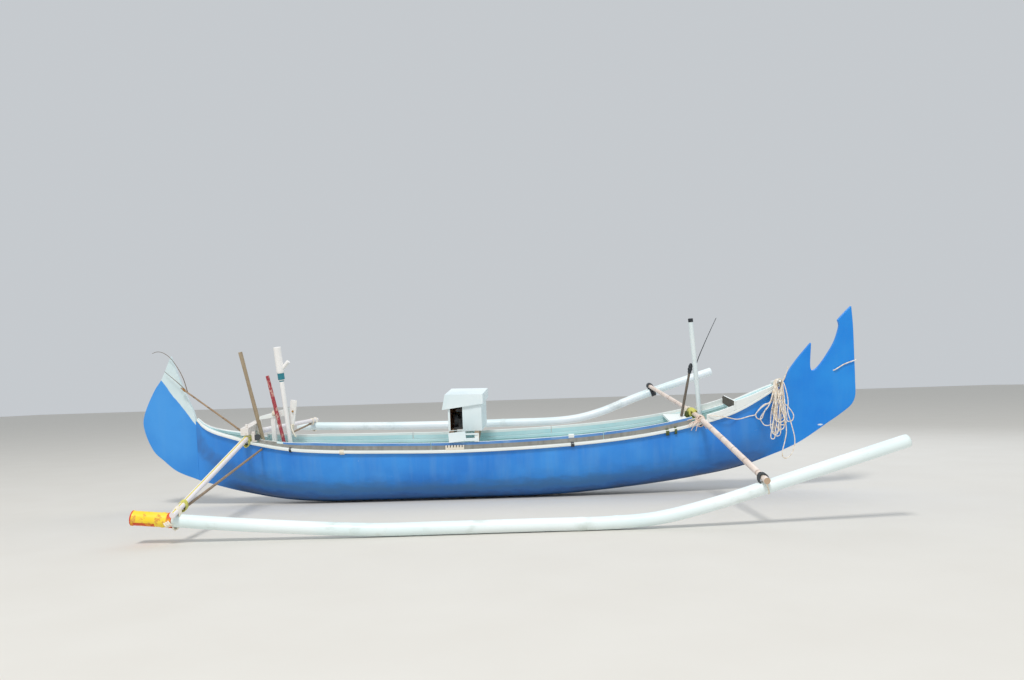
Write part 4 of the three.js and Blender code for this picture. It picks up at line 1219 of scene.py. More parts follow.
def bamboo_finish(name, base, pale, ring, fleck):
    """Dry culm: smooth and faintly waxy, fine fibres along it, darker at the joints."""
    material, tree, shader, place = new_finish(name, 0.42)
    clouds = add_node(tree, "ShaderNodeTexNoise", {"Vector": place, "Scale": 5.0, "Detail": 5.0})
    fade = add_node(tree, "ShaderNodeMapRange", {"Value": clouds.outputs["Fac"],
                    "From Min": 0.38, "From Max": 0.64})
    spots = add_node(tree, "ShaderNodeTexNoise", {"Vector": place, "Scale": 22.0, "Detail": 6.0,
                     "Roughness": 0.7})
    much = add_node(tree, "ShaderNodeMapRange", {"Value": spots.outputs["Fac"],
                    "From Min": 0.57, "From Max": 0.7, "To Max": 0.7})
    near = add_node(tree, "ShaderNodeAttribute", {}, attribute_name="near_joint").outputs["Fac"]
    dark = add_node(tree, "ShaderNodeMapRange", {"Value": near, "From Min": 0.2, "From Max": 0.9,
                    "To Max": 0.6})
    coats = [(fade.outputs[0], pale), (much.outputs[0], fleck), (dark.outputs[0], ring)]
    tree.links.new(layered(tree, base, coats), shader.inputs["Base Color"])
    bump = add_node(tree, "ShaderNodeBump", {"Height": spots.outputs["Fac"], "Strength": 0.2,
                    "Distance": 0.002})
    tree.links.new(bump.outputs[0], shader.inputs["Normal"])
    return material


pink_bamboo = bamboo_finish("dry_bamboo_culm", "#E6D2C2", "#F1E2D6", "#B39B88", "#C9AE9A")
cut_bamboo = worn_coat("cut_end_of_bamboo", "#B79A7F", "#C9AF95", "#7A6350", roughness=0.8, patch=12)


def float_at(name, x):
    """Middle of a float at x, with the direction square to it, upward."""
    route = float_routes[name]
    k = next(i for i in range(1, len(route)) if route[i].x >= x)
    tangent = (route[k] - route[k - 1]).normalized()
    share = (x - route[k - 1].x) / (route[k].x - route[k - 1].x)
    return route[k - 1].lerp(route[k], share), Vector((-tangent.z, 0, tangent.x))


BAMBOO_R = 0.029
FORE_AT = {"starboard": 2.300, "port": 2.150}
FORE_X, FORE_SKEW = 2.232, 0.005
point, normal = float_at("starboard", FORE_AT["starboard"])
fore_stbd = point + normal * (FLOAT_R + BAMBOO_R + GAP)
point, normal = float_at("port", FORE_AT["port"])
fore_port = point + normal * (FLOAT_R + BAMBOO_R - 0.0011)
fore_rail = rail_top(FORE_X + FORE_SKEW) + (BAMBOO_R + GAP) * 1.02 + 0.0013
fore_pins = [fore_stbd + Vector((0.003, -0.095, -0.004)), fore_stbd,
             Vector((FORE_X + FORE_SKEW, -edge(FORE_X), fore_rail)),
             Vector((FORE_X - FORE_SKEW, edge(FORE_X), fore_rail)),
             fore_port, fore_port + Vector((-0.002, 0.032, 0.001))]
fore_route = smooth_route(fore_pins, 0.008)
fore_joints = [0.21, 0.55, 0.90, 1.26, 1.63, 2.01, 2.38, 2.76, 3.13, 3.50, 3.86, 4.21, 4.55]
verts, faces = ringed_tube(fore_route, BAMBOO_R - 0.001, BAMBOO_R - 0.004, fore_joints, 0.0016)
fore_beam = piece("bamboo_crossbeam", verts, faces, [pink_bamboo, cut_bamboo], "fore_crossbeam",
                  sharp=45, finish_of=lambda polygon: 1 if len(polygon.vertices) > 4 else 0)
store_rings(fore_beam, fore_route, fore_joints)
print("crossbeam", round(route_length(fore_route), 2), "m, rail at", round(fore_rail, 3))

# %% [markdown]
# ## Lashings
#
# Everything on this boat is tied, not bolted. A lashing is a few tight turns of line round both
# pieces. Each is drawn as one coil whose rings are ellipses: wide enough to pass over the pole and
# under the rail or float, and stepping along by one line thickness per turn.

# %% Lashings
def line_finish(name, base, pale, soil):
    return worn_coat(name, base, pale, soil, roughness=0.85, bare=0.58, patch=14, soft=0.1)


green_line = line_finish("yellow_green_polyethylene_line", "#D2CE5C", "#E2DE84", "#8F8E44")
deep_green = line_finish("dark_green_polyethylene_line", "#4E5A2A", "#6A7540", "#2F3820")
frayed_line = line_finish("frayed_pinkish_line", "#E8CDBB", "#F4E3D6", "#B0937E")
cream_line = line_finish("cream_polyamide_line", "#F0E6D2", "#F8F1E2", "#B9A98C")
dark_strap = line_finish("dark_rubber_strap", "#3A3D40", "#505457", "#26292C")
brown_line = line_finish("brown_tarred_line", "#9A6A30", "#B98A4A", "#5A4226")

ALONG, ATHWART, UP = Vector((1, 0, 0)), Vector((0, 1, 0)), Vector((0, 0, 1))


def lashing(name, centre, axis, first, rx, ry, turns, thick, finish, upright=True):
    """Tight turns round an axis: rx is the ellipse's half size along first, ry square to it."""
    axis, first = axis.normalized(), (first - axis * first.dot(axis)).normalized()
    second = axis.cross(first)
    route = coil_route(centre, first, second, axis, rx, ry, turns, thick * 1.02, 20)
    verts, faces = tube_mesh(route, thick / 2, sides=8, domed=True)
    return piece(name, verts, faces, finish, upright=upright, sharp=80)


def at_crossbeam(y):
    """Middle of the fore crossbeam at y, in the upright boat."""
    return min(fore_route, key=lambda p: abs(p.y - y)).copy()


def loose_ends(name, root, tips, thick, finish):
    """Short ends of line that hang from a lashing, one for each tip."""
    parts = []
    for k, tip in enumerate(tips):
        start = root + Vector((0.010 * math.sin(5 * k), -0.004, 0.008 * math.cos(3 * k)))
        bend = start.lerp(tip, 0.5) + Vector((0.0, -0.014, 0.016))
        route = smooth_route([start, bend, tip], 0.008)
        parts.append(tube_mesh(route, lambda share: thick / 2 * (1 - 0.5 * share), sides=7, domed=True))
    verts, faces = join_parts(parts)
    return piece(name, verts, faces, finish, sharp=80)


for name, side, finish in (("starboard", -1, frayed_line), ("port", 1, cream_line)):
    on_beam = at_crossbeam(side * (edge(FORE_X) + 0.006))
    middle = on_beam + Vector((-0.004, 0, -0.022))
    lashing(f"crossbeam_lashing_{name}", middle, ATHWART, UP, 0.060, 0.038, 5, 0.010, finish)
    lashing(f"crossbeam_lashing_cross_{name}", middle, Vector((0.65, 1, 0.0)), UP, 0.062, 0.050, 4,
            0.010, finish)
near_rail = at_crossbeam(-edge(FORE_X) - 0.02)
loose_ends("crossbeam_lashing_ends", near_rail + Vector((-0.03, -0.02, -0.01)),
           [near_rail + Vector(d) for d in ((-0.17, -0.03, -0.085), (-0.14, -0.035, -0.045),
            (-0.115, -0.03, -0.115), (-0.09, -0.035, -0.07), (-0.15, -0.02, -0.005),
            (-0.065, -0.035, -0.12), (-0.12, -0.03, -0.075), (0.05, -0.03, -0.10))], 0.013, frayed_line)
bundle = at_crossbeam(0.10)
lashing("beam_bundle", bundle, ATHWART, UP, 0.044, 0.044, 11, 0.013, green_line)
lashing("beam_bundle_tail", bundle + Vector((-0.055, 0.015, -0.030)), Vector((0.3, 0.2, 1)), ALONG,
        0.030, 0.034, 6, 0.013, deep_green)
lashing("beam_bundle_knot", bundle + Vector((-0.012, -0.075, 0.018)), Vector((1, 0.6, 0.2)), UP,
        0.030, 0.028, 3, 0.014, green_line)
point, normal = float_at("port", FORE_AT["port"])
lashing("float_strap_port", point + Vector((0.012, 0, 0.004)), Vector((normal.z, 0, -normal.x)), normal,
        FLOAT_R + 0.007, FLOAT_R + 0.007, 5, 0.013, dark_strap)
lashing("beam_strap_port", fore_port + Vector((0, 0.004, 0)), ATHWART, UP, 0.037, 0.037, 6, 0.013,
        dark_strap)
point, normal = float_at("starboard", FORE_AT["starboard"])
lashing("beam_strap_starboard", fore_stbd + Vector((0, 0.0, -0.014)), ATHWART, normal, 0.052, 0.038, 4,
        0.014, dark_strap)
lashing("float_line_starboard", point + normal * 0.030, Vector((normal.z, 0, -normal.x)), normal, 0.092,
        0.061, 2, 0.006, cream_line)
print("crossbeam lashings at y", round(edge(FORE_X) + 0.006, 3))

# %% [markdown]
# Short turns of strap and line hold the near rail down. Each tie is a small lashing along the boat,
# with its own number of turns and its own line.

# %% Ties under the near rail
TIES = [(-2.231, 3, 0.008, dark_strap, 0.0), (-1.660, 6, 0.008, cream_line, 0.0),
        (0.840, 4, 0.009, dark_strap, 0.0), (1.870, 4, 0.009, deep_green, 0.010),
        (1.960, 3, 0.009, deep_green, 0.012)]
for k, (x, turns, thick, finish, drop) in enumerate(TIES):
    middle = Vector((x, -(edge(x) + 0.003), (sheer(x) + rail_top(x)) / 2 - drop))
    lashing(f"rail_tie_{k}", middle, ALONG, ATHWART, 0.030, 0.024 + drop, turns, thick, finish)
print("ties on the near rail:", len(TIES))

# %% [markdown]
# ## Stern arms
#
# The two floats hang on pipes at the stern, with a thin stick braced under each. The near one has
# a thin yellow stripe painted along it. Stripe and pipe are one mesh: the stripe is a second finish
# on the faces that look up and a little forward.

# %% Stern arms and braces
yellow = worn_coat("yellow_enamel_on_pipe", "#DCC818", "#E4D63E", "#E9EADF", roughness=0.45,
                   bare=0.68, patch=70, stretch=(1, 0.3, 1))
arm_white = pipe_finish("chalky_white_vinyl_pipe", "#F3ECEC", "#FAF6F5", "#C9BFB2")


def round_pole(name, node, finishes, sides=28, size=None, finish_of=None, step=0.03,
               toward=ALONG):
    """A round pole on its CAD solid's own axis. size gives its radius for a share of the length."""
    (a, ra), (b, rb) = ends_of(node)
    if toward.dot(b - a) < 0:
        (a, ra), (b, rb) = (b, rb), (a, ra)
    verts, faces = tube_mesh(straight(a, b, step), size or (lambda share: ra + (rb - ra) * share),
                             sides=sides)
    return piece(name, verts, faces, finishes, node, upright=False, finish_of=finish_of,
                 bevel=0.004, sharp=50)


def stripe_faces(polygon):
    return 1 if -0.08 < polygon.normal.x < 0.30 and polygon.normal.z > 0.6 else 0


round_pole("stern_arm_pipe_starboard", "stern_arm_starboard", [arm_white, yellow],
           finish_of=stripe_faces, sides=32, toward=-ATHWART)
round_pole("stern_arm_pipe_port", "stern_arm_port", [arm_white], sides=32,
           toward=ATHWART)
for name in ("starboard", "port"):
    round_pole(f"arm_brace_{name}", f"stern_brace_{name}", bare_wood, sides=14)
print("arms are", round(2000 * ends_of("stern_arm_starboard")[0][1]), "mm thick")

# %% [markdown]
# The stern beam is a white block of wood across both arms. Beside its near end stands a block with
# a dark sheave between two white cheeks, for a line to run over.

# %% Stern beam, pulley and peg
block_paint = worn_coat("white_enamel_on_block", "#F1EDE8", "#E4DED7", "#8C8274", roughness=0.55,
                        bare=0.62, patch=40)
board("stern_beam", "stern_crossbeam", block_paint, 0.007)
(peg_base, peg_r), (peg_end, _) = standing_ends("stern_peg")
verts, faces = tube_mesh(straight(peg_base, peg_base.lerp(peg_end, 0.5), 0.01), peg_r, sides=20)
piece("stern_beam_peg", verts, faces, block_paint, "stern_peg", upright=False, bevel=0.005)


def box_part(x0, x1, y0, y1, z0, z1):
    """Eight corners and six faces."""
    verts = [Vector((x, y, z)) for x in (x0, x1) for y in (y0, y1) for z in (z0, z1)]
    faces = [(0, 1, 3, 2), (4, 6, 7, 5), (0, 4, 5, 1), (2, 3, 7, 6), (0, 2, 6, 4), (1, 5, 7, 3)]
    return verts, faces


def upright_box(node):
    """Low and high corner of a CAD node's box, in the upright boat."""
    points = [BOAT.inverted() @ point for point in solid_points(node)]
    return [min(p[k] for p in points) for k in range(3)], [max(p[k] for p in points) for k in range(3)]


BASE, CHEEK, CHEEK_LENGTH, CHEEK_OVER = 0.014, 0.010, 0.034, 0.045
(px0, py0, pz0), (px1, py1, pz1) = upright_box("stern_pulley_block")
cheek_end, on_base = px0 + CHEEK_LENGTH, pz0 + BASE
verts, faces = join_parts([box_part(px0, px1, py0, py1, pz0, on_base),
                           box_part(px0, cheek_end, py0, py0 + CHEEK, on_base, pz1 + CHEEK_OVER),
                           box_part(px0, cheek_end, py1 - CHEEK, py1, on_base, pz1 + CHEEK_OVER),
                           box_part(cheek_end, px1 + 0.012, py1 - CHEEK, py1, on_base, pz1 + 0.010)])
piece("pulley_cheeks", verts, faces, block_paint, "stern_pulley_block", bevel=0.004)
dark_wheel = worn_coat("dark_rubber_wheel", "#2F3335", "#474C4E", "#6B6256", roughness=0.6, patch=20)
wheel_at = Vector((px1 + 0.004, (py0 + py1) / 2 - 0.004, pz0 + 0.050))
half_wheel = Vector((0, 0.013, 0))
verts, faces = tube_mesh(straight(wheel_at - half_wheel, wheel_at + half_wheel, 0.0026),
                         lambda share: 0.034 - 0.010 * math.sin(math.pi * share), sides=36)
piece("pulley_sheave", verts, faces, dark_wheel, bevel=0.002, sharp=50)
print("pulley wheel at", [round(c, 3) for c in wheel_at])

# %% [markdown]
# Each arm is tied in three places: to the float, to its brace and to the rail. The turns go round the
# pole's own axis and reach towards what carries it, so both directions are given.

# %% Arm lashings
def lashed_pole(name, node, at_point, toward, half_over, turns, thick, finish):
    """Turns round a straight CAD pole and what carries it."""
    (a, ra), (b, _) = ends_of(node)
    axis = (b - a).normalized()
    centre = a + axis * (at_point - a).dot(axis)
    return lashing(name, centre + toward * (half_over - ra - thick / 2), axis, toward,
                   half_over, ra + thick * 0.55, turns, thick, finish, upright=False)


ARM_FLOAT_X, ARM_RAIL_X = -2.610, -2.720
for side_name, side in (("starboard", -1), ("port", 1)):
    node = f"stern_arm_{side_name}"
    float_point, normal = float_at(side_name, ARM_FLOAT_X)
    on_float = BOAT @ float_point
    down = (BOAT.to_3x3() @ -normal).normalized()
    lashed_pole(f"arm_lashing_float_{side_name}", node, on_float, down, 0.094, 5, 0.012, cream_line)
    inboard = BOAT @ (float_point + Vector((0, -side * 0.150, 0)))
    lashed_pole(f"arm_lashing_brace_{side_name}", node, inboard, down, 0.046, 5, 0.010,
                green_line if side < 0 else cream_line)
    rail_point = lying(ARM_RAIL_X, side * (edge(ARM_RAIL_X) + 0.010), rail_top(ARM_RAIL_X))
    lashed_pole(f"arm_lashing_rail_{side_name}", node, rail_point, lying(0, 0, -1) - lying(0, 0, 0),
                0.062, 9, 0.013, green_line if side < 0 else cream_line)
float_point, normal = float_at("starboard", -2.655)
knot_at = BOAT @ (float_point + Vector((0, -FLOAT_R - 0.012, -0.012)))
lashing("arm_lashing_knot", knot_at, Vector((1, 0.2, 0.5)), UP, 0.020, 0.018, 2.5, 0.016, cream_line,
        upright=False)
print("arms tied at x", ARM_FLOAT_X, "on the floats and", ARM_RAIL_X, "on the rails")

# %% [markdown]
# ## Mast and the thin poles
#
# The mast is a pipe too, with a dark cap, and widens a little to the top. Beside it stands a thin
# stick with a black wrapped head. A straight pole needs only its two ends and a radius, and both come
# from its solid.

# %% Mast and fore pole
dark_cap = worn_coat("black_rubber_cap", "#23272C", "#343A40", "#4A4E50", roughness=0.6, patch=30)
teal = worn_coat("teal_enamel", "#1F6F7E", "#2F8796", "#9FB6B4", roughness=0.5, patch=25)
mast_paint = worn_coat("grey_green_enamel_on_mast", "#DDE8EA", "#EAF2F2", "#A7B2AE", roughness=0.5,
                       bare=0.64, patch=50, stretch=(1, 1, 0.3))


CAP_DEEP = 0.035
(_, mast_radius), (mast_head, _) = standing_ends("mast")
round_pole("mast_pipe", "mast", [mast_paint, dark_cap], step=0.02, toward=UP,
           size=lambda share: mast_radius + 0.0045 * share,
           finish_of=lambda polygon: 1 if polygon.center.z > mast_head.z - CAP_DEEP else 0)
rod_pins = [(2.246, -0.004, 1.395), (2.288, -0.002, 1.508), (2.385, 0.0, 1.725), (2.480, 0.0, 1.924)]
verts, faces = tube_mesh(smooth_route(rod_pins, 0.02), lambda share: 0.0055 - 0.0025 * share, sides=10,
                         domed=True)
piece("mast_rod", verts, faces, dark_cap, sharp=80)
(pole_foot, _), (pole_head, _) = standing_ends("fore_pole")
dark_stick = worn_coat("dark_brown_stick", "#5E554D", "#756B60", "#3A342E", roughness=0.8, bare=0.56,
                       patch=26, stretch=(1, 1, 0.25), soft=0.12, relief=0.6)
round_pole("fore_stick", "fore_pole", dark_stick, sides=16, toward=UP,
           size=lambda share: 0.0155 - 0.002 * share + 0.0008 * math.sin(23 * share))
wrap = [pole_foot.lerp(pole_head, s) for s in (0.87, 0.90, 0.93, 0.96, 0.99, 1.02, 1.045)]
verts, faces = tube_mesh(smooth_route(wrap, 0.008),
                         lambda share: 0.015 + 0.011 * math.sin(math.pi * min(1, share * 0.95)) ** 0.7
                         * (0.85 + 0.25 * math.sin(17 * share)), sides=16, domed=True)
piece("fore_stick_wrap", verts, faces, dark_cap, upright=False, sharp=80)
print("mast is", round(2000 * mast_radius), "mm thick at its foot")

# %% [markdown]
# Three poles stand in the stern. The brown and the red one are rough sticks, so their radius wavers
# by a millimetre, and the red paint has flaked to cream. The white one is stepped: wide at the head,
# a little less in its teal band, and thin below that.

# %% Poles in the stern
flaked_red = worn_coat("red_enamel_flaking_to_cream", "#9E2F3A", "#B04550", "#E6D2BE", roughness=0.6,
                       bare=0.54, patch=30, stretch=(1, 1, 0.6), soft=0.03, relief=0.7)
white_pole_paint = worn_coat("white_enamel_on_pole", "#FAF8F6", "#F1EFEC", "#BDB5A8", roughness=0.5,
                             bare=0.66, patch=50)
brown_wood = worn_coat("brown_bare_pole", "#9A886F", "#B3A288", "#6A5A48", roughness=0.85, bare=0.58,
                       patch=26, stretch=(1, 1, 0.25), soft=0.12, relief=0.7)
round_pole("brown_pole", "pole_brown", brown_wood, sides=20, toward=UP,
           size=lambda share: 0.021 + 0.0012 * math.sin(14 * share))
round_pole("red_pole", "pole_red", flaked_red, sides=20, toward=UP,
           size=lambda share: 0.020 + 0.0010 * math.sin(11 * share))
(white_foot, _), (white_head, _) = standing_ends("pole_white")
HEAD_LENGTH, BAND_LENGTH = 0.28, 0.09


def teal_band(polygon):
    """A broad band and a fine line under it, in metres down from the head."""
    run = (white_head - polygon.center).dot((white_head - white_foot).normalized())
    return 1 if 0.285 < run < 0.365 or 0.375 < run < 0.383 else 0


def marker_size(share):
    """Wide above the band and thin below it."""
    run = (1 - share) * (white_head - white_foot).length
    if run < HEAD_LENGTH:
        return 0.041
    past = run - HEAD_LENGTH - BAND_LENGTH
    return 0.036 if past < 0 else 0.0255 - 0.003 * past


round_pole("white_pole", "pole_white", [white_pole_paint, teal], finish_of=teal_band,
           step=0.012, size=marker_size, toward=UP)
peg_foot, peg_tip = Vector((-2.328, -0.104, 1.500)), Vector((-2.232, -0.112, 1.606))
verts, faces = tube_mesh(straight(peg_foot, peg_tip, 0.01), lambda share: 0.017 + 0.006 * share, sides=16)
piece("white_pole_peg", verts, faces, white_pole_paint, bevel=0.004)
print("white pole", round((white_head - white_foot).length, 2), "m")

# %% [markdown]
# ## Paddle
#
# The paddle is one piece of wood: a round loom that swells into a flat blade with rounded corners.
# Ellipses along its length give both: their width and thickness change from round to flat.

# %% Paddle
END_REACH = 0.03
paddle_low, paddle_top = (corner[2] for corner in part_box("paddle"))
paddle_head = middle_of([p for p in solid_points("paddle") if p.z > paddle_top - END_REACH])
paddle_foot = middle_of([p for p in solid_points("paddle") if p.z < paddle_low + END_REACH])
paddle_length = (paddle_head - paddle_foot).length
PADDLE_FORM = [(0.0, 0.013, 0.013), (0.62, 0.013, 0.013), (0.70, 0.017, 0.012), (0.755, 0.029, 0.010),
               (0.80, 0.034, 0.009), (0.93, 0.037, 0.008), (0.99, 0.037, 0.0075), (1.0, 0.034, 0.006)]


def flat_bar(start, end, across, form, sides=20, step=0.02):
    """A bar whose ellipse changes along its length. form gives share, half width, half thickness."""
    axis = (end - start).normalized()
    wide = (across - axis * across.dot(axis)).normalized()
    thin = axis.cross(wide)
    widths, depths = [(s, w) for s, w, d in form], [(s, d) for s, w, d in form]
    verts, faces, rings = [], [], max(4, round((end - start).length / step))
    for i in range(rings + 1):
        share = i / rings
        w, d = along(widths, share), along(depths, share)
        for k in range(sides):
            angle = 2 * math.pi * k / sides
            verts.append(start.lerp(end, share) + wide * w * math.cos(angle) + thin * d * math.sin(angle))
    for i in range(rings):
        for k in range(sides):
            a, b = i * sides + k, i * sides + (k + 1) % sides
            faces.append((a, b, b + sides, a + sides))
    faces += [tuple(reversed(range(sides))), tuple(range(rings * sides, (rings + 1) * sides))]
    return verts, faces


verts, faces = flat_bar(paddle_foot, paddle_head, ALONG, PADDLE_FORM)
piece("wooden_paddle", verts, faces, white_pole_paint, "paddle", upright=False)
paddle_axis = (paddle_head - paddle_foot).normalized()
wood_knot = paddle_foot.lerp(paddle_head, 0.88) + Vector((0, -0.010, 0))
lashing("paddle_knot", wood_knot, ATHWART, ALONG, 0.006, 0.007, 1.5, 0.011, brown_line, upright=False)
line_top = paddle_foot.lerp(paddle_head, 0.735) + Vector((0, -0.022, 0))
cord_pins = [line_top, line_top + Vector((0.010, -0.014, -0.035)),
             line_top + Vector((0.028, -0.012, -0.085)), line_top + Vector((0.050, 0.0, -0.130))]
verts, faces = tube_mesh(smooth_route(cord_pins, 0.008), 0.009, sides=10, strands=3, domed=True)
piece("paddle_tie", verts, faces, cream_line, upright=False, sharp=80)
lashing("paddle_lashing", paddle_foot.lerp(paddle_head, 0.72), paddle_axis, ALONG, 0.024, 0.018, 5, 0.010,
        cream_line, upright=False)
print("paddle", round(paddle_length, 2), "m")

# %% [markdown]
# ## Fishing cane
#
# The cane's butt is under the aft edge of the stern beam, and it stands out over the stern. From its
# end two thin whips spring up past the blade, and the longer one bends over at the tip.

# %% Fishing cane
(cane_end, _), (cane_butt, butt_radius) = sorted(ends_of("fishing_cane"), key=lambda end: end[0].x)
cane_wood = bamboo_finish("brown_cane", "#9C8266", "#B59A7C", "#4C3A2A", "#7A6048")
whip_wood = bamboo_finish("dark_thin_cane", "#6A5A4A", "#7E6C59", "#3A2E24", "#54463A")
stem_route = straight(cane_butt, cane_end + (cane_end - cane_butt).normalized() * 0.02, 0.012)
stem_length = route_length(stem_route)
CANE_JOINT = 0.18
stem_joints = [CANE_JOINT * k for k in range(1, int(stem_length / CANE_JOINT) + 1)]
verts, faces = ringed_tube(stem_route, butt_radius + 0.001, 0.0085, stem_joints, 0.0012, sides=14,
                           domed=True)
stem = piece("whip_cane", verts, faces, cane_wood, "fishing_cane", upright=False, sharp=60)
store_rings(stem, stem_route, stem_joints, 0.008)
leave = BOAT.inverted() @ stem_route[-8]
WHIPS = [[(-3.416, -0.075, 1.455), (-3.490, -0.066, 1.600), (-3.566, -0.060, 1.698), (-3.640, -0.057, 1.743),
          (-3.694, -0.055, 1.750), (-3.746, -0.050, 1.734)],
         [(-3.440, -0.077, 1.368), (-3.530, -0.068, 1.450), (-3.619, -0.060, 1.528)]]
for k, pins in enumerate(WHIPS):
    whip = smooth_route([leave] + pins, 0.012)
    verts, faces = tube_mesh(whip, lambda share: 0.0050 - 0.0026 * share, sides=8, domed=True)
    piece(f"thin_cane_{k}", verts, faces, whip_wood, sharp=80)
lashing("cane_lashing", stem_route[-4], stem_route[-1] - stem_route[-9], UP, 0.013, 0.013, 6, 0.005,
        brown_line, upright=False)
print("cane", round(stem_length, 2), "m")

# %% [markdown]
# A crutch of two white boards stands in the stern, and a round bar lies across the bow for the rope.
# The boards are copies of their solids, tied together with a short lashing.

# %% Crutch and rope bar
board("crutch_upright", "crutch_post", white_pole_paint, 0.004)
board("crutch_head", "crutch_board", rail_paint, 0.006)
round_pole("bow_bar", "rope_bar", rail_paint, sides=20, toward=ATHWART)
crutch_middle = middle_of([Vector(corner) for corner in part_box("crutch_board")])
lashing("crutch_lashing", crutch_middle, ALONG, UP, 0.030, 0.042, 4, 0.009, cream_line, upright=False)
print("crutch tied at", [round(c, 2) for c in crutch_middle])

# %% [markdown]
# ## Engine and its housing
#
# A small petrol engine stands on two bearers inside a box of painted plywood, with a doorway in the
# near side and a lid that lifts straight off. The engine shows only through the doorway: a finned
# cylinder, a fan cover and a tank. The lid rides on its own body, so that it can move.

# %% Housing
ply = worn_coat("white_enamel_on_plywood", "#F0FAFC", "#E2F1F4", "#B0BBBC", roughness=0.45, bare=0.71,
                patch=70)
brown_inside = worn_coat("brown_stained_plywood", "#6E3C18", "#80502C", "#472810", roughness=0.7,
                         patch=40)
HOUSING_PLACE, HOUSING_TURN, ROOM_HALF = Vector((-0.301, 0.020, 0.0)), -0.1, (0.179, 0.190)


def housing_finish(polygon):
    """White outside and brown inside: upright faces of the room stand within its four walls."""
    middle = BOAT.inverted() @ polygon.center - HOUSING_PLACE
    place = Matrix.Rotation(-HOUSING_TURN, 3, "Z") @ middle
    upright = abs((BOAT.to_3x3().inverted() @ polygon.normal).z) < 0.7
    return 1 if upright and abs(place.x) < ROOM_HALF[0] and abs(place.y) < ROOM_HALF[1] else 0


board("housing_box", "engine_housing", [ply, brown_inside], 0.0025,
      finish_of=housing_finish)
board("lift_off_lid", "engine_lid", ply, 0.004, body="lid")
board("loose_board", "leaning_board", ply, 0.002)
print("housing is turned by", round(math.degrees(HOUSING_TURN), 1), "degrees")

# %% [markdown]
# Two thin slats are nailed to the near ends of the bearers, one above the other.

# %% Slats between the bearers
SLATS = [(0.700, 0.735), (0.768, 0.786)]
bearer_end = upright_box("engine_bearer_aft")[0][1]
verts, faces = join_parts([box_part(-0.452, -0.180, bearer_end - 0.0082, bearer_end - 0.0002, low, high)
                           for low, high in SLATS])
piece("bearer_slats", verts, faces, ply, bevel=0.002)
print("slats stand at y", round(bearer_end, 3))

# %% [markdown]
# Painted cast iron is matt and rusts where the paint has gone. Little of the engine shows, so plain
# shapes joined in one mesh are enough: a base, a crankcase, cooling fins, a head, a tank and a fan
# cover.

# %% Engine
iron = worn_coat("painted_cast_iron", "#3A3E42", "#4C5154", "#7A4A2C", roughness=0.55, bare=0.6,
                 patch=30)
ex, ey, ez = BOAT.inverted() @ middle_of(solid_points("engine_block"))
FINS, FIN_PITCH, FIN_THICK = 7, 0.013, 0.006
parts = [box_part(ex - 0.13, ex + 0.13, ey - 0.10, ey + 0.10, ez - 0.125, ez - 0.105),
         box_part(ex - 0.08, ex + 0.075, ey - 0.085, ey + 0.085, ez - 0.105, ez - 0.01)]
for k in range(FINS):
    level = ez - 0.005 + k * FIN_PITCH
    parts.append(box_part(ex - 0.06, ex + 0.05, ey - 0.075, ey + 0.075, level, level + FIN_THICK))
parts.append(box_part(ex - 0.045, ex + 0.035, ey - 0.05, ey + 0.05, ez - 0.012, ez + 0.085))
tank_end = Vector((ex - 0.10, ey - 0.095, ez + 0.095))
parts.append(tube_mesh(straight(tank_end, tank_end + Vector((0.21, 0, 0))), 0.028, sides=20))
fan_face = Vector((ex - 0.125, ey, ez - 0.04))
parts.append(tube_mesh(straight(fan_face, fan_face + Vector((0.045, 0, 0)), 0.01), 0.075, sides=28))
verts, faces = join_parts(parts)
piece("petrol_engine", verts, faces, iron, "engine_block", bevel=0.002)
print("engine of", len(parts), "shapes")

# %% [markdown]
# The slotted batten on the rail is a length of split bamboo with notches cut in its upper edge,
# for line. The notches are real cuts: the outline of its side is drawn with them and pushed across.

# %% Slotted batten
NOTCHES, NOTCH_HALF, NOTCH_DEEP = 6, 0.006, 0.024
(bx0, by0, bz0), (bx1, by1, bz1) = upright_box("slotted_batten")
side_line = [(bx0, bz0), (bx1, bz0), (bx1, bz1)]
for k in reversed(range(NOTCHES)):
    x = bx0 + (bx1 - bx0) * (k + 0.75) / (NOTCHES + 0.4)
    side_line += [(x + NOTCH_HALF, bz1), (x + NOTCH_HALF, bz1 - NOTCH_DEEP),
                  (x - NOTCH_HALF, bz1 - NOTCH_DEEP), (x - NOTCH_HALF, bz1)]
side_line.append((bx0, bz1))
verts, faces = plate(side_line, by0, by1)
batten_wood = worn_coat("split_bamboo_batten", "#EDE4D2", "#F3ECDE", "#A8926C", roughness=0.55,
                        patch=26, stretch=(0.15, 1, 1))
piece("notched_batten", verts, faces, batten_wood, "slotted_batten", bevel=0.0015)
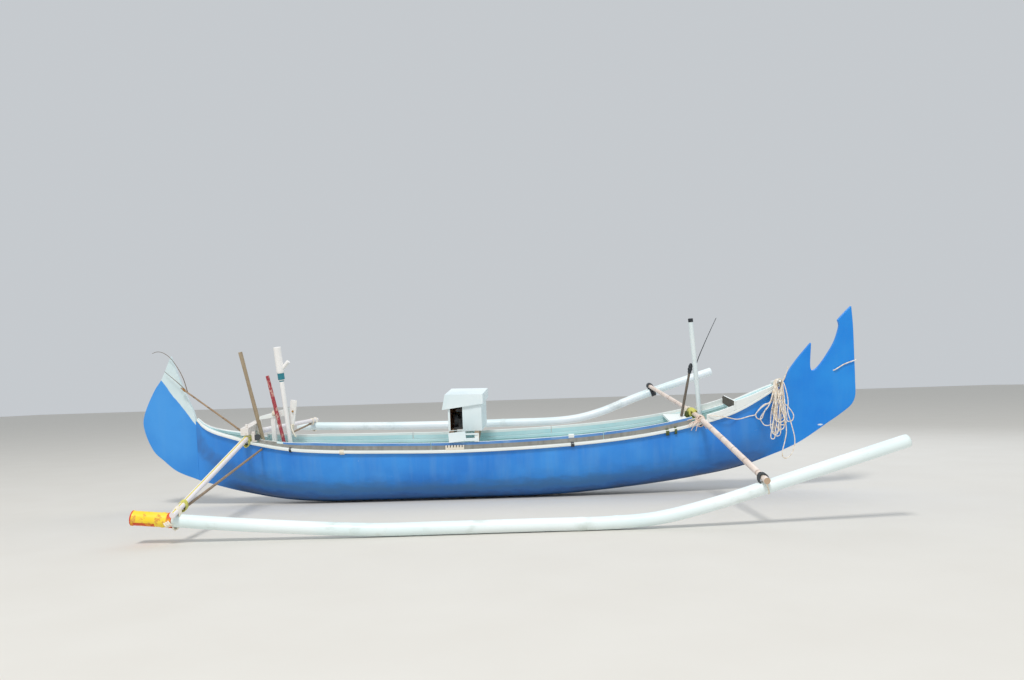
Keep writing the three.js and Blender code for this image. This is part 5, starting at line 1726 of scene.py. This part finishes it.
print("batten", round(bx1 - bx0, 3), "m with", NOTCHES, "notches")

# %% [markdown]
# ## Floor and light
#
# The part is shown on a plain pale floor in soft studio light: one large lamp high on the near
# left, a weaker one to fill the far side, and a bright even surround. Soft light keeps the colours
# honest and lets the shadow under the rail show where it overhangs.

# %% Floor
floor_finish, tree, shader, place = new_finish("pale_matt_floor", 0.9)
grain = add_node(tree, "ShaderNodeTexNoise", {"Vector": place, "Scale": 1.5, "Detail": 4.0})
tint = layered(tree, "#D8D4CC", [(grain.outputs["Fac"], "#DEDBD4")])
tree.links.new(tint, shader.inputs["Base Color"])
floor_mesh = bpy.data.meshes.new("floor")
floor_mesh.from_pydata([(-60, -40, -0.002), (60, -40, -0.002), (60, 90, -0.002), (-60, 90, -0.002)], [],
                       [(0, 1, 2, 3)])
floor_mesh.materials.append(floor_finish)
floor = bpy.data.objects.new("floor", floor_mesh)
bpy.context.scene.collection.objects.link(floor)
print("floor", [round(side) for side in floor.dimensions[:2]], "m")

# %% [markdown]
# The key lamp is 5 m wide and nearly 30 m away, so its shadows have soft edges. The fill is weak and
# bluish, as light from an open sky is, and the surround lifts what neither lamp reaches.

# %% Lights
def area_light(name, place, size, power, tint):
    """A square lamp that faces the middle of the boat."""
    data = bpy.data.lights.new(name, "AREA")
    data.size = size
    data.energy = power
    data.color = linear(tint)[:3]
    lamp = bpy.data.objects.new(name, data)
    lamp.location = place
    lamp.rotation_euler = (Vector((0, 0, 0.5)) - Vector(place)).to_track_quat("-Z", "Y").to_euler()
    bpy.context.scene.collection.objects.link(lamp)


area_light("key", (-3.0, -17.0, 23.0), 5.0, 4300, "#FFFDFA")
area_light("fill", (6.0, 6.0, 8.0), 8.0, 250, "#EAF2FF")
world = bpy.data.worlds.new("surround")
world.use_nodes = True
world.node_tree.nodes["Background"].inputs["Color"].default_value = linear("#EEF3F8")
world.node_tree.nodes["Background"].inputs["Strength"].default_value = 0.66
bpy.context.scene.world = world
bpy.context.scene.view_settings.view_transform = "Standard"
print("lamps:", len(bpy.data.lights))
